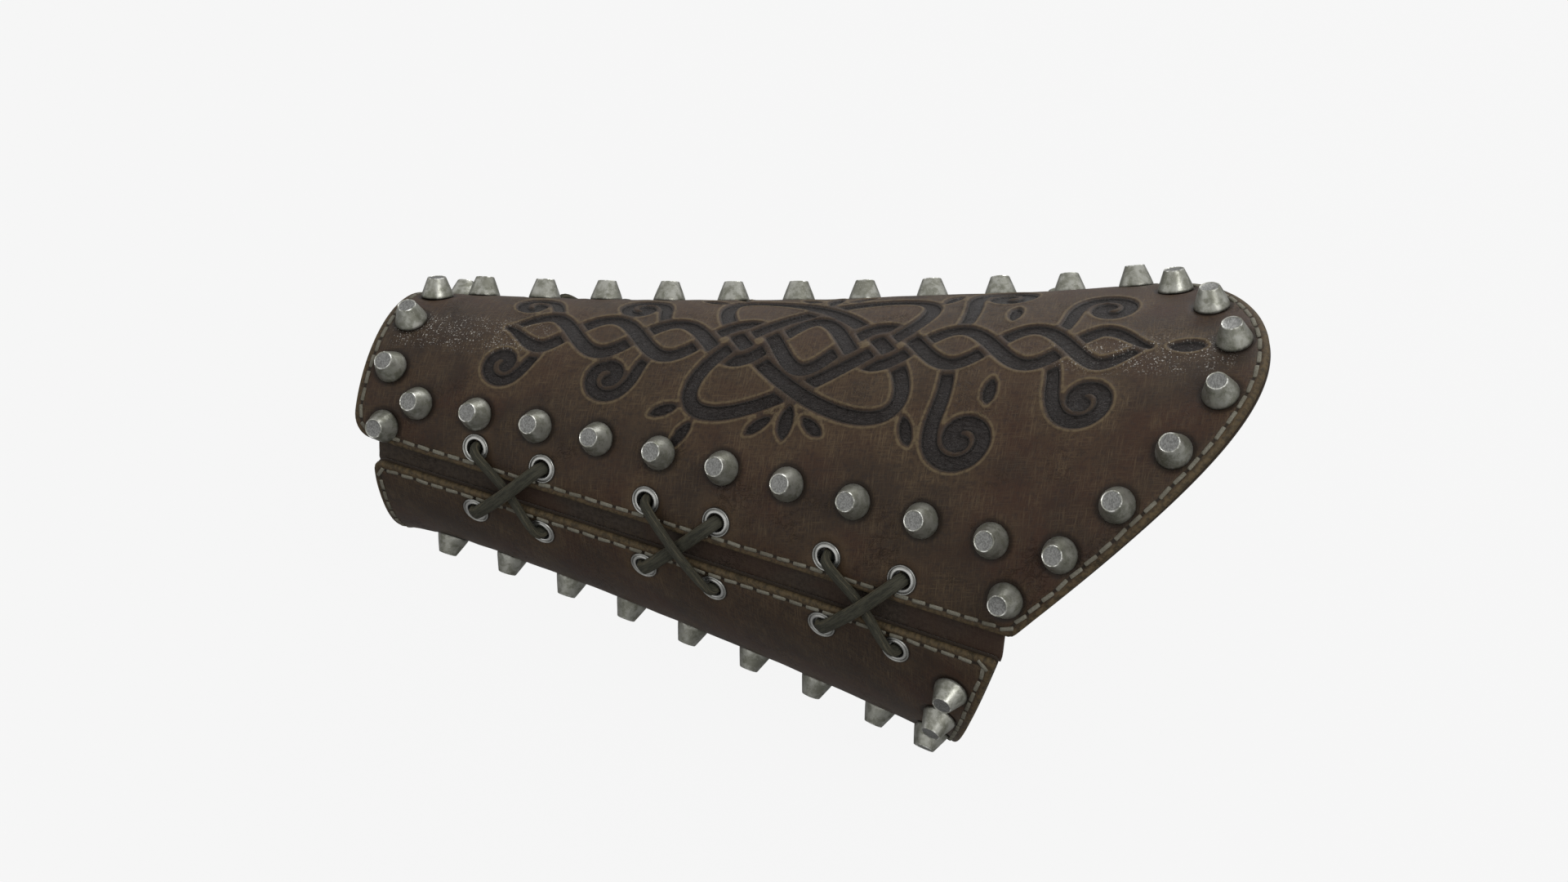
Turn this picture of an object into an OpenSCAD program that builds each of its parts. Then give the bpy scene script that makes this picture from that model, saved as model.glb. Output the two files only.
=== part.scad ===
// Laced leather bracer for the left or right forearm.
// A decorated outer panel with a pointed elbow flap and a shorter inner panel are
// laced together along both sides of the arm, over two narrow tongues, and set with
// cone studs. +X runs from the wrist to the elbow and +Z out of the decorated panel.
// The origin is the centre of the wrist rim.

/* [Forearm shape] */
// Length from the wrist rim to the tip of the elbow flap
length = 252; // [244:1:262]
// Diameter over the leather at the wrist rim
wrist_d = 67.2; // [64:0.1:74]
// Diameter over the leather at the tip of the elbow flap
elbow_d = 162; // [154:1:172]
// Dip of the flare below a straight cone at half length
flare_dip = 4.7; // [2:0.1:6]

/* [Leather] */
// Thickness of the tooled leather
leather_t = 2.2; // [2:0.1:3]
// Thickness of the lining
lining_t = 1; // [0.8:0.1:1.4]
// Thickness of the tongues under the lacing
tongue_t = 1.4; // [1:0.1:1.8]
// Play between a tongue and the linings that it lies under
tongue_play = 0.3; // [0.2:0.05:0.5]
// Width of a tongue sewn under the inner panel's edge
tongue_seam = 2.4; // [2:0.1:2.6]
// Width of a tongue tucked loosely under the outer panel's edge
tongue_tuck = 1; // [0.8:0.1:1.2]

/* [Outer panel] */
// Height of the laced edge above the arm's axis at the wrist
outer_edge_wrist_z = 14.4; // [12:0.1:17]
// Height of the laced edge above the arm's axis at the elbow corner
outer_edge_elbow_z = 24; // [20:0.5:28]
// Distance of the elbow corner from the wrist rim
outer_corner_x = 202; // [198:1:208]
// Turn of the flap's tip round the arm, towards the near side
flap_turn = 5; // [0:0.5:8]
// Hollow of the slanting elbow edges
elbow_edge_hollow = 2.3; // [0:0.1:4]
// Radius of the wrist corners
outer_wrist_corner_r = 6; // [3:0.5:8]

/* [Inner panel] */
// Gap between the two panels at the wrist, seen from the side
gap_wrist = 6; // [5:0.5:8]
// Gap between the two panels at the elbow corners, seen from the side
gap_elbow = 8; // [6:0.5:10]
// Distance of the wrist end from the wrist rim of the outer panel
inner_start_x = 6.7; // [4:0.1:10]
// Distance of the elbow corner from the wrist rim of the outer panel
inner_corner_x = 199; // [194:1:203]
// How much shorter the panel is along the underside of the arm
inner_slant = 18; // [10:1:24]
// Radius of the wrist corners
inner_wrist_corner_r = 3; // [2:0.5:6]

/* [Studs] */
// Diameter of a stud's base
stud_d = 9.6; // [8.5:0.1:10.5]
// Diameter of a stud's flat top
stud_top_d = 5.2; // [4:0.1:6]
// Height of a stud above its seat
stud_h = 5.6; // [4:0.1:7]
// Height of the straight rim under the cone
stud_rim_h = 0.6; // [0.3:0.1:1]
// Diameter of the post under a stud
stud_post_d = 3.8; // [3.4:0.1:4.4]
// Diameter of the screw that holds a stud
screw_d = 2.5; // [2:0.1:2.8]
// Length of thread in a stud
screw_grip = 4.5; // [3:0.1:5]
// Diameter of the screw's head
screw_head_d = 6; // [5:0.1:6.2]
// Thickness of the screw's head
screw_head_h = 1; // [0.8:0.1:1.4]

/* [Stud rows] */
// Studs in each long row of the outer panel
outer_row_count = 10; // [8:1:10]
// Distance of the first stud of a long row from the wrist rim
outer_row_x = 20.2; // [19:0.1:24]
// Distance between the last stud of a long row and the elbow corner
outer_row_stop = 9; // [7:0.5:14]
// Height of the first stud of a long row above the laced edge
outer_row_wrist_rise = 11.7; // [11.4:0.1:13.5]
// Height of the last stud of a long row above the laced edge
outer_row_elbow_rise = 20.5; // [19:0.1:23]
// Studs along the wrist rim
wrist_row_count = 5; // [3:2:5]
// Distance of the middle stud from the wrist rim
wrist_row_x = 8.6; // [7.5:0.1:9]
// How much farther from the rim the outermost studs sit
wrist_row_bow = 1.8; // [0:0.1:2]
// Distance of the outermost stud from the laced edge, round the arm
wrist_row_end = 5.2; // [5.1:0.1:6.5]
// Studs along the elbow edges, without the one in the far corner
elbow_row_count = 9; // [7:1:9]
// Distance of the elbow studs from the edge
elbow_row_inset = 8.4; // [7.5:0.1:9]
// Height on the near elbow edge, above its corner, where the first stud stands
near_row_rise = 4.4; // [3.5:0.1:6]
// Height on the far elbow edge, above its shoulder, where the last stud stands
far_row_rise = 18.6; // [18:0.1:22]
// Studs in each long row of the inner panel
inner_row_count = 8; // [6:1:8]
// Distance of the first stud of a long row from the wrist rim
inner_row_x = 24.4; // [20:0.1:28]
// Distance between the studs of a long row
inner_row_pitch = 19.7; // [17:0.1:20]
// Angle round the arm from the middle of the outer panel to a long row
inner_row_angle = 134; // [128:1:138]
// Studs round the elbow end of the inner panel
inner_end_count = 14; // [8:2:14]
// Distance of these studs from the elbow end
inner_end_inset = 8; // [7:0.5:9]
// Distance of the first of them from the laced edge, round the arm
inner_end_drop = 16.4; // [15:0.1:18]

/* [Lacing] */
// Distance of the first cross from the wrist rim
cross_x = 51.4; // [48:0.1:54]
// Distance between the crosses
cross_pitch = 54.4; // [50:0.1:56]
// Distance between the two eyelets of one edge in a cross
eyelet_pitch = 21.6; // [18:0.1:24]
// Distance of the eyelets from the panel's edge
eyelet_inset = 6.9; // [6.6:0.1:7.4]
// Inside diameter of an eyelet
eyelet_bore = 5; // [4.8:0.1:5.4]
// Wall of an eyelet's barrel
eyelet_wall = 0.4; // [0.3:0.05:0.6]
// Width of the rolled rim round the hole
eyelet_rim_w = 1.6; // [1.2:0.1:1.8]
// Width of the clinched end behind the washer
clinch_w = 0.9; // [0.6:0.1:1]
// Thickness of the clinched end
clinch_h = 0.5; // [0.3:0.1:0.6]
// Thickness of the washer behind an eyelet
washer_t = 0.5; // [0.4:0.1:0.6]
// Outside diameter of the washer
washer_d = 7.4; // [7:0.1:7.8]
// Diameter of the lace
lace_d = 3.8; // [3:0.1:4]
// Radius of the lace's turn into an eyelet, along its middle
lace_turn = 2.6; // [2.4:0.1:3]
// Height between a lace and what it runs over
lace_lift = 0.5; // [0.4:0.05:0.7]
// Height between the two strands of a cross
lace_touch = 0.2; // [0.1:0.05:0.4]
// Diameter of the knot that joins the lace's ends inside
knot_d = 5.6; // [4.5:0.1:6.2]
// Half the knot's length, as a share of the distance between its two eyelets
knot_reach = 0.16; // [0.12:0.01:0.2]

/* [Seats] */
// Depth of the flat that a stud or eyelet presses into the leather
seat_sink = 0.35; // [0.3:0.05:0.5]
// Depth of the flat behind it in the lining
back_sink = 0.1; // [0.05:0.05:0.2]
// Clearance round posts, barrels and screws
fit_play = 0.05; // [0.05:0.01:0.1]
// Clearance round the rims in their flats
rim_play = 0.2; // [0.1:0.05:0.3]

/* [Hidden] */

NEAR = 1;
FAR = -1;
SIDES = [NEAR, FAR];
// Straight bands that the curved flare is turned from, and steps along an outline
FLARE_BANDS = 9;
EDGE_STEPS = 8;
CORNER_STEPS = 5;
ROUND = 48;
LACE_SIDES = 8;
CROSSES = 3;
// Farther out than the leather reaches, for cutting shapes
REACH = elbow_d;
// The flare is turned this far past the flap's tip, and the elbow edge's shares run on
// past the tip and the near corner, so that every cut goes right through
FLARE_SPARE = 2;
EDGE_START = 1.12;
EDGE_STOP = -0.06;
DEGREES = 180 / PI;

brown = "saddlebrown";
dark_brown = [0.25, 0.16, 0.11];
tan = [0.55, 0.42, 0.3];
pewter = [0.62, 0.64, 0.6];
olive = [0.29, 0.27, 0.2];

// The flare: radius over the leather, its slope, and radii under it
function radius_at(x) =
  let (t = x / length)
  wrist_d / 2 + (elbow_d - wrist_d) / 2 * t - 4 * flare_dip * t * (1 - t);
function slope_at(x) =
  atan(((elbow_d - wrist_d) / 2 - 4 * flare_dip * (1 - 2 * x / length)) / length);
function radius_under(x, depth) = radius_at(x) - depth / cos(slope_at(x));

panel_t = leather_t + lining_t;
tongue_depth = panel_t + tongue_play;

// Heights of the laced edges, seen from the side, and their angles round the arm
function edge_bow(x) = pow(x / outer_corner_x, 2);
function outer_edge_z(x) =
  outer_edge_wrist_z + (outer_edge_elbow_z - outer_edge_wrist_z) * edge_bow(x);
function inner_edge_z(x) =
  outer_edge_z(x) - gap_wrist - (gap_elbow - gap_wrist) * x / outer_corner_x;
function angle_of(x, z) = acos(z / radius_at(x));
function arc_angle(x, distance) = distance / radius_at(x) * DEGREES;
function outer_eyelet_angle(x) =
  angle_of(x, outer_edge_z(x)) - arc_angle(x, eyelet_inset);
function inner_eyelet_angle(x) =
  angle_of(x, inner_edge_z(x)) + arc_angle(x, eyelet_inset);

// A point at a height over the leather, and the direction out of the leather there
function leather_point(x, angle, height) =
  let (a = slope_at(x), r = radius_at(x) + height * cos(a))
  [x - height * sin(a), -r * sin(angle), r * cos(angle)];

// Elbow edges of the outer panel, seen square to the turned tip, from the tip (0) to
// the near corner (1). The far edge is the same up to a shoulder short of its corner.
corner_angle = angle_of(outer_corner_x, outer_edge_elbow_z);
tip = [length, radius_at(length)];
corner = [outer_corner_x, radius_at(outer_corner_x) * cos(corner_angle - flap_turn)];
edge_side = [tip.y - corner.y, corner.x - tip.x] / norm(tip - corner);
function elbow_edge(t) =
  tip + (corner - tip) * t - edge_side * elbow_edge_hollow * 4 * t * (1 - t);
function elbow_edge_angle(t) = angle_of(elbow_edge(t).x, elbow_edge(t).y);
// The edge's [x, angle] moved square to itself into the leather, for t over 0
function elbow_row(side, t) =
  let (
    step = 0.01,
    here = elbow_edge(t),
    ahead = elbow_edge(t + step),
    angle = elbow_edge_angle(t),
    r = radius_at(here.x),
    along = (ahead.x - here.x) / cos(slope_at(here.x)),
    round_it = (elbow_edge_angle(t + step) - angle) / DEGREES * r,
    inset = elbow_row_inset / norm([along, round_it])
  )
  [
    here.x - inset * round_it * cos(slope_at(here.x)),
    flap_turn + side * (angle + arc_angle(here.x, inset * along))
  ];
near_row_end = 1 - near_row_rise / (tip.y - corner.y);
far_row_end = 1 - far_row_rise / (tip.y - corner.y);
ROW_STEPS = 40;
row_track = [
  for (i = [ROW_STEPS : -1 : 1]) elbow_row(NEAR, near_row_end * pow(i / ROW_STEPS, 2)),
  [length - elbow_row_inset * cos(slope_at(length)), flap_turn],
  for (i = [1 : ROW_STEPS]) elbow_row(FAR, far_row_end * pow(i / ROW_STEPS, 2))
];
function track_point(i) = leather_point(row_track[i][0], row_track[i][1], 0);
function track_length(i) = i == 0 ? 0 : track_length(i - 1) + norm(track_point(i) - track_point(i - 1));
row_lengths = [for (i = [0 : 2 * ROW_STEPS]) track_length(i)];
function row_spot(share) =
  let (s = share * row_lengths[2 * ROW_STEPS])
  [
    lookup(s, [for (i = [0 : 2 * ROW_STEPS]) [row_lengths[i], row_track[i][0]]]),
    lookup(s, [for (i = [0 : 2 * ROW_STEPS]) [row_lengths[i], row_track[i][1]]])
  ];

// Places of studs and eyelets as [x, angle]
row_first = [outer_row_x, outer_edge_z(outer_row_x) + outer_row_wrist_rise];
row_last_x = outer_corner_x - outer_row_stop;
row_last = [row_last_x, outer_edge_z(row_last_x) + outer_row_elbow_rise];
function outer_row_spots(side) = [
  for (i = [0 : outer_row_count - 1])
    let (stand = row_first + (row_last - row_first) * i / (outer_row_count - 1))
    [stand.x, side * angle_of(stand.x, stand.y)]
];
wrist_end_x = wrist_row_x + wrist_row_bow;
wrist_end_angle =
  angle_of(wrist_end_x, outer_edge_z(wrist_end_x)) - arc_angle(wrist_end_x, wrist_row_end);
wrist_row_spots = [
  for (i = [0 : wrist_row_count - 1])
    let (share = 2 * i / (wrist_row_count - 1) - 1)
    [wrist_row_x + wrist_row_bow * share * share, wrist_end_angle * share]
];
shoulder_x = elbow_edge(EDGE_START).x - elbow_row_inset * cos(slope_at(outer_corner_x));
elbow_row_spots = [
  for (i = [0 : elbow_row_count - 1]) row_spot(i / (elbow_row_count - 1)),
  [shoulder_x, arc_angle(shoulder_x, elbow_row_inset) - angle_of(shoulder_x, outer_edge_z(shoulder_x))]
];
function inner_row_spots(side) = [
  for (i = [0 : inner_row_count - 1]) [inner_row_x + i * inner_row_pitch, side * inner_row_angle]
];
keel_x = inner_corner_x - inner_slant;
keel_z = -radius_at(keel_x);
corner_z = inner_edge_z(inner_corner_x);
function inner_end_x(z) = keel_x + inner_slant * (z - keel_z) / (corner_z - keel_z);
inner_end_angle =
  angle_of(inner_corner_x, corner_z) + arc_angle(inner_corner_x, inner_end_drop);
inner_end_spots = [
  for (i = [0 : inner_end_count - 1])
    let (
      angle = inner_end_angle + i * (360 - 2 * inner_end_angle) / (inner_end_count - 1),
      x = inner_end_x(radius_at(keel_x) * cos(angle)) - inner_end_inset
    )
    [x, angle]
];
function cross_centre(i) = cross_x + i * cross_pitch;
eyelet_xs = [
  for (i = [0 : CROSSES - 1], end = [-1, 1]) cross_centre(i) + end * eyelet_pitch / 2
];
function outer_eyelet_spots(side) = [for (x = eyelet_xs) [x, side * outer_eyelet_angle(x)]];
function inner_eyelet_spots(side) = [for (x = eyelet_xs) [x, side * inner_eyelet_angle(x)]];
outer_stud_spots = [
  each outer_row_spots(NEAR), each outer_row_spots(FAR), each wrist_row_spots, each elbow_row_spots
];
inner_stud_spots = [
  each inner_row_spots(NEAR), each inner_row_spots(FAR), each inner_end_spots
];

// Puts its children on the leather at each place, with +Z out of the leather
module at(spots) {
  for (spot = spots)
    translate([spot[0], 0, 0])
      rotate([spot[1], 0, 0])
        translate([0, 0, radius_at(spot[0])])
          rotate([0, -slope_at(spot[0]), 0])
            children();
}

// Turned layer of the flare between two depths under the outer face
module flare_layer(from_depth, to_depth) {
  xs = [for (i = [0 : FLARE_BANDS]) (length + FLARE_SPARE) * i / FLARE_BANDS];
  outside = [for (x = xs) [radius_under(x, from_depth), x]];
  inside = [for (i = [FLARE_BANDS : -1 : 0]) [radius_under(xs[i], to_depth), xs[i]]];
  rotate([0, 90, 0])
    rotate_extrude($fn = 2 * ROUND) polygon(concat(outside, inside));
}

// Prism across the arm from an outline seen from the side
module side_prism(outline) {
  rotate([90, 0, 0])
    linear_extrude(height = 2 * REACH, center = true) polygon(outline);
}

// Points of a rounded corner from one direction to another, seen from the side
function arc_points(centre, r, from, to) = [
  for (i = [0 : CORNER_STEPS])
    let (a = from + (to - from) * i / CORNER_STEPS)
    centre + r * [cos(a), sin(a)]
];
function span(from, to) = [for (i = [0 : EDGE_STEPS]) from + (to - from) * i / EDGE_STEPS];

outer_outline = concat(
  [[0, REACH]],
  arc_points(
    [outer_wrist_corner_r, outer_edge_z(outer_wrist_corner_r) + outer_wrist_corner_r],
    outer_wrist_corner_r, 180, 270
  ),
  [for (x = span(2 * outer_wrist_corner_r, outer_corner_x)) [x, outer_edge_z(x)]],
  [[length + REACH, outer_edge_elbow_z], [length + REACH, REACH]]
);
flap_outline = concat(
  [[-1, -REACH], [elbow_edge(EDGE_START).x, -REACH]],
  [for (t = span(EDGE_START, EDGE_STOP)) elbow_edge(t)],
  [[length + REACH, REACH], [-1, REACH]]
);
inner_outline = concat(
  [[inner_start_x, -REACH]],
  arc_points(
    [
      inner_start_x + inner_wrist_corner_r,
      inner_edge_z(inner_start_x + inner_wrist_corner_r) - inner_wrist_corner_r
    ],
    inner_wrist_corner_r, 180, 90
  ),
  [for (x = span(inner_start_x + 2 * inner_wrist_corner_r, inner_corner_x)) [x, inner_edge_z(x)]],
  [[keel_x, keel_z], [keel_x, -REACH]]
);
// A tongue's edge, a distance round the arm below a panel's edge
function tongue_edge(x, edge_z, distance) =
  let (r = radius_under(x, tongue_depth))
  [x, r * cos(angle_of(x, edge_z) + distance / r * DEGREES)];
tongue_outline = concat(
  [for (x = span(inner_start_x, inner_corner_x)) tongue_edge(x, outer_edge_z(x), -tongue_tuck)],
  [for (x = span(inner_corner_x, inner_start_x)) tongue_edge(x, inner_edge_z(x), tongue_seam)]
);

// Holes and flats for studs and eyelets: outside flat, hole and flat behind
module fixing_cut(hole_r, seat_r, back_r) {
  cut_h = 4 * panel_t;
  translate([0, 0, -cut_h / 2]) cylinder(h = cut_h, r = hole_r, $fn = ROUND);
  translate([0, 0, -seat_sink]) cylinder(h = cut_h, r = seat_r, $fn = ROUND);
  translate([0, 0, back_sink - panel_t - cut_h]) cylinder(h = cut_h, r = back_r, $fn = ROUND);
}
module stud_cut() {
  fixing_cut(stud_post_d / 2 + fit_play, stud_d / 2 + rim_play, screw_head_d / 2 + rim_play);
}
barrel_r = eyelet_bore / 2 + eyelet_wall;
rim_r = eyelet_bore / 2 + eyelet_rim_w;
module eyelet_cut() {
  fixing_cut(barrel_r + fit_play, rim_r + rim_play, washer_d / 2 + rim_play);
}
// Distance between the two flats that a stud or eyelet clamps
clamp_t = panel_t - seat_sink - back_sink;

// Half of space on the near or the far side of the arm
module half_space(side) {
  translate([-REACH, side > 0 ? -2 * REACH : 0, -REACH]) cube([3 * REACH, 2 * REACH, 2 * REACH]);
}
module outer_panel(from_depth, to_depth) {
  difference() {
    intersection() {
      flare_layer(from_depth, to_depth);
      side_prism(outer_outline);
      rotate([flap_turn, 0, 0]) side_prism(flap_outline);
    }
    at(outer_stud_spots) stud_cut();
    for (side = SIDES) at(outer_eyelet_spots(side)) eyelet_cut();
  }
}
module inner_panel(from_depth, to_depth) {
  difference() {
    intersection() {
      flare_layer(from_depth, to_depth);
      side_prism(inner_outline);
    }
    at(inner_stud_spots) stud_cut();
    for (side = SIDES) at(inner_eyelet_spots(side)) eyelet_cut();
  }
}
module outer_leather() {
  color(brown) outer_panel(0, leather_t);
}
module outer_lining() {
  color(tan) outer_panel(leather_t, panel_t);
}
module inner_leather() {
  color(brown) inner_panel(0, leather_t);
}
module inner_lining() {
  color(tan) inner_panel(leather_t, panel_t);
}
module tongue(side) {
  color(dark_brown) intersection() {
    flare_layer(tongue_depth, tongue_depth + tongue_t);
    side_prism(tongue_outline);
    half_space(side);
  }
}

// Cone stud with its hollow post, standing on the outside flat
module stud() {
  post_h = clamp_t - fit_play;
  bore_r = screw_d / 2 + fit_play;
  bore_top = screw_grip - clamp_t;
  bevel = 0.3;
  translate([0, 0, -seat_sink]) rotate_extrude($fn = ROUND) polygon([
    [bore_r, -post_h], [stud_post_d / 2, -post_h], [stud_post_d / 2, 0],
    [stud_d / 2, 0], [stud_d / 2, stud_rim_h],
    [stud_top_d / 2, stud_h - bevel], [stud_top_d / 2 - bevel, stud_h],
    [0, stud_h], [0, bore_top], [bore_r, bore_top]
  ]);
}
module studs(spots) {
  color(pewter) at(spots) stud();
}
// Flat-headed screw that comes up through the lining into the stud's post
module stud_screw() {
  shaft_h = screw_grip - fit_play;
  translate([0, 0, back_sink - panel_t]) {
    translate([0, 0, -screw_head_h]) cylinder(h = screw_head_h, d = screw_head_d, $fn = ROUND);
    cylinder(h = shaft_h, d = screw_d, $fn = ROUND);
  }
}
module stud_screws(spots) {
  color(pewter) at(spots) stud_screw();
}

// Eyelet: rolled rim on the outside flat, barrel, and end clinched over the washer
module eyelet() {
  roll_r = eyelet_rim_w / 2;
  barrel_h = clamp_t + washer_t + clinch_h;
  translate([0, 0, -seat_sink]) rotate_extrude($fn = ROUND) {
    intersection() {
      translate([eyelet_bore / 2 + roll_r, 0]) circle(r = roll_r, $fn = ROUND);
      translate([eyelet_bore / 2, 0]) square([eyelet_rim_w, roll_r]);
    }
    translate([eyelet_bore / 2, -barrel_h]) square([eyelet_wall, barrel_h]);
    translate([eyelet_bore / 2, -barrel_h]) square([clinch_w, clinch_h]);
  }
}
module eyelets(spots) {
  color(pewter) at(spots) eyelet();
}
module eyelet_washer() {
  translate([0, 0, back_sink - panel_t - washer_t]) difference() {
    cylinder(h = washer_t, d = washer_d, $fn = ROUND);
    translate([0, 0, -washer_t]) cylinder(h = 3 * washer_t, r = barrel_r + fit_play, $fn = ROUND);
  }
}
module eyelet_washers(spots) {
  color(pewter) at(spots) eyelet_washer();
}

// A lace is one closed loop through the four eyelets of a cross. It runs over the
// gap from corner to corner twice and under the panels along each end, and its ends
// are knotted together in the second run underneath.
over_h = lace_d / 2 + eyelet_rim_w / 2 - seat_sink + lace_lift;
under_h = -(tongue_depth + tongue_t + lace_d / 2 + lace_lift);
knot_h = -(tongue_depth + tongue_t + knot_d / 2 + lace_lift);
hump_h = lace_d + lace_touch;
BEND = [1 - cos(45), sin(45)];

// Eyelet of a cross as [x, angle]: end -1 or 1 along the arm, panel 1 or -1 for
// the outer or the inner one
function eyelet_spot(centre, side, end, panel) =
  let (x = centre + end * eyelet_pitch / 2)
  [x, side * (panel > 0 ? outer_eyelet_angle(x) : inner_eyelet_angle(x))];
// A point over the leather, a distance from one place towards another
function towards(from, to, distance, height) =
  let (
    gap = norm(leather_point(from[0], from[1], 0) - leather_point(to[0], to[1], 0)),
    spot = from + (to - from) * distance / gap
  )
  leather_point(spot[0], spot[1], height);
function halfway(from, to, share, height) =
  let (spot = from + (to - from) * share)
  leather_point(spot[0], spot[1], height);
// Rings of a lace as [point, radius]. Out of one eyelet and round into the run:
function turn_out(from, to, level, way) = [
  for (step = [[0, 0], BEND, [1, 1]])
    [
      towards(from, to, step[0] * lace_turn, level - way * lace_turn * (1 - step[1])),
      lace_d / 2
    ]
];
function turn_in(from, to, level, way) =
  let (rings = turn_out(to, from, level, way))
  [for (i = [len(rings) - 1 : -1 : 0]) rings[i]];
function run_over(from, to, lift) = concat(
  turn_out(from, to, over_h, 1),
  [[halfway(from, to, 0.5, over_h + lift), lace_d / 2]],
  turn_in(from, to, over_h, 1)
);
function run_under(from, to) = concat(
  turn_out(from, to, under_h, -1),
  [[halfway(from, to, 0.5, under_h), lace_d / 2]],
  turn_in(from, to, under_h, -1)
);
function run_knotted(from, to) = concat(
  turn_out(from, to, under_h, -1),
  [
    for (step = [[-1, 0], [-0.6, 1], [0.6, 1], [1, 0]])
      [
        halfway(from, to, 0.5 + step[0] * knot_reach, under_h + step[1] * (knot_h - under_h)),
        (lace_d + step[1] * (knot_d - lace_d)) / 2
      ]
  ],
  turn_in(from, to, under_h, -1)
);
function lace_rings(centre, side, first_over) =
  let (
    a = eyelet_spot(centre, side, -1, -1),
    b = eyelet_spot(centre, side, 1, 1),
    c = eyelet_spot(centre, side, 1, -1),
    d = eyelet_spot(centre, side, -1, 1)
  )
  concat(
    run_over(a, b, first_over ? hump_h : 0),
    run_under(b, c),
    run_over(c, d, first_over ? 0 : hump_h),
    run_knotted(d, a)
  );

function unit(v) = v / norm(v);
// Points round one ring, square to the way the loop runs there
function ring_points(rings, i) =
  let (
    n = len(rings),
    way = unit(rings[(i + 1) % n][0] - rings[(i + n - 1) % n][0]),
    aside = unit([1, 0, 0] - way.x * way),
    out = cross(way, aside)
  )
  [
    for (k = [0 : LACE_SIDES - 1])
      let (a = 360 * (k + 0.5) / LACE_SIDES)
      rings[i][0] + rings[i][1] * (cos(a) * aside + sin(a) * out)
  ];
module looped_tube(rings) {
  n = len(rings);
  s = LACE_SIDES;
  polyhedron(
    points = [for (i = [0 : n - 1]) each ring_points(rings, i)],
    faces = [
      for (i = [0 : n - 1], k = [0 : s - 1], half = [0, 1])
        let (
          j = (i + 1) % n,
          m = (k + 1) % s
        )
        half == 0 ? [i * s + k, j * s + k, i * s + m] : [i * s + m, j * s + k, j * s + m]
    ],
    convexity = 6
  );
}
module lace(side, place) {
  color(olive) looped_tube(lace_rings(cross_centre(place), side, place % 2 == 0));
}

module near_tongue() {
  tongue(NEAR);
}
module far_tongue() {
  tongue(FAR);
}
module outer_near_studs() {
  studs(outer_row_spots(NEAR));
}
module outer_far_studs() {
  studs(outer_row_spots(FAR));
}
module wrist_studs() {
  studs(wrist_row_spots);
}
module elbow_studs() {
  studs(elbow_row_spots);
}
module inner_near_studs() {
  studs(inner_row_spots(NEAR));
}
module inner_far_studs() {
  studs(inner_row_spots(FAR));
}
module inner_end_studs() {
  studs(inner_end_spots);
}
module outer_stud_screws() {
  stud_screws(outer_stud_spots);
}
module inner_stud_screws() {
  stud_screws(inner_stud_spots);
}
module outer_near_eyelets() {
  eyelets(outer_eyelet_spots(NEAR));
}
module outer_far_eyelets() {
  eyelets(outer_eyelet_spots(FAR));
}
module inner_near_eyelets() {
  eyelets(inner_eyelet_spots(NEAR));
}
module inner_far_eyelets() {
  eyelets(inner_eyelet_spots(FAR));
}
module outer_eyelet_washers() {
  for (side = SIDES) eyelet_washers(outer_eyelet_spots(side));
}
module inner_eyelet_washers() {
  for (side = SIDES) eyelet_washers(inner_eyelet_spots(side));
}
module near_lace_wrist() {
  lace(NEAR, 0);
}
module near_lace_middle() {
  lace(NEAR, 1);
}
module near_lace_elbow() {
  lace(NEAR, 2);
}
module far_lace_wrist() {
  lace(FAR, 0);
}
module far_lace_middle() {
  lace(FAR, 1);
}
module far_lace_elbow() {
  lace(FAR, 2);
}

outer_leather();
outer_lining();
inner_leather();
inner_lining();
near_tongue();
far_tongue();
outer_near_studs();
outer_far_studs();
wrist_studs();
elbow_studs();
inner_near_studs();
inner_far_studs();
inner_end_studs();
outer_stud_screws();
inner_stud_screws();
outer_near_eyelets();
outer_far_eyelets();
inner_near_eyelets();
inner_far_eyelets();
outer_eyelet_washers();
inner_eyelet_washers();
near_lace_wrist();
near_lace_middle();
near_lace_elbow();
far_lace_wrist();
far_lace_middle();
far_lace_elbow();
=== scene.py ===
import math

import bmesh
import bpy
import numpy as np
from mathutils import Matrix, Vector
from mathutils.geometry import delaunay_2d_cdt
from mathutils.kdtree import KDTree


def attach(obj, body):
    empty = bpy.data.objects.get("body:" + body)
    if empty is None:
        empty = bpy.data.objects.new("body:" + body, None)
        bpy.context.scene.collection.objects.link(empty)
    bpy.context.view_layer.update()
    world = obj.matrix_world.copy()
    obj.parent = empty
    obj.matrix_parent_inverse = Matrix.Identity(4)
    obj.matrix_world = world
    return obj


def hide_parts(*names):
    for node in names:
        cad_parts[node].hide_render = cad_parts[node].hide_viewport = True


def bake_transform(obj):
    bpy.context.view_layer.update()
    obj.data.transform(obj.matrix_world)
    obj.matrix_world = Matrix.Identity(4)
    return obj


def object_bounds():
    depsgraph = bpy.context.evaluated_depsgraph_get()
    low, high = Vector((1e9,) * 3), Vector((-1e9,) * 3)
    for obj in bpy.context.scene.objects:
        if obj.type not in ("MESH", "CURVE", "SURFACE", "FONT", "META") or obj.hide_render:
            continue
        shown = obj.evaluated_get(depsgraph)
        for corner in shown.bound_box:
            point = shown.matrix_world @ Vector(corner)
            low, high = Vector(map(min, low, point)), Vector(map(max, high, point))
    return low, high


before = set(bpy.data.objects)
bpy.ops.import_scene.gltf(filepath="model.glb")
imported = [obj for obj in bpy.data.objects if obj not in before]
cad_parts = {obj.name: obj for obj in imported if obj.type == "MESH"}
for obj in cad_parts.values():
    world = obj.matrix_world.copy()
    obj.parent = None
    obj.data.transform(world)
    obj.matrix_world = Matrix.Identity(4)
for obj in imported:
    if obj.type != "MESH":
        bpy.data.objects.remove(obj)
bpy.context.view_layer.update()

mm = 0.001  # sizes are in millimetres and angles in radians unless a note says otherwise
degree = math.pi / 180
farAway = 9.0  # distances past this are not told apart

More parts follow.
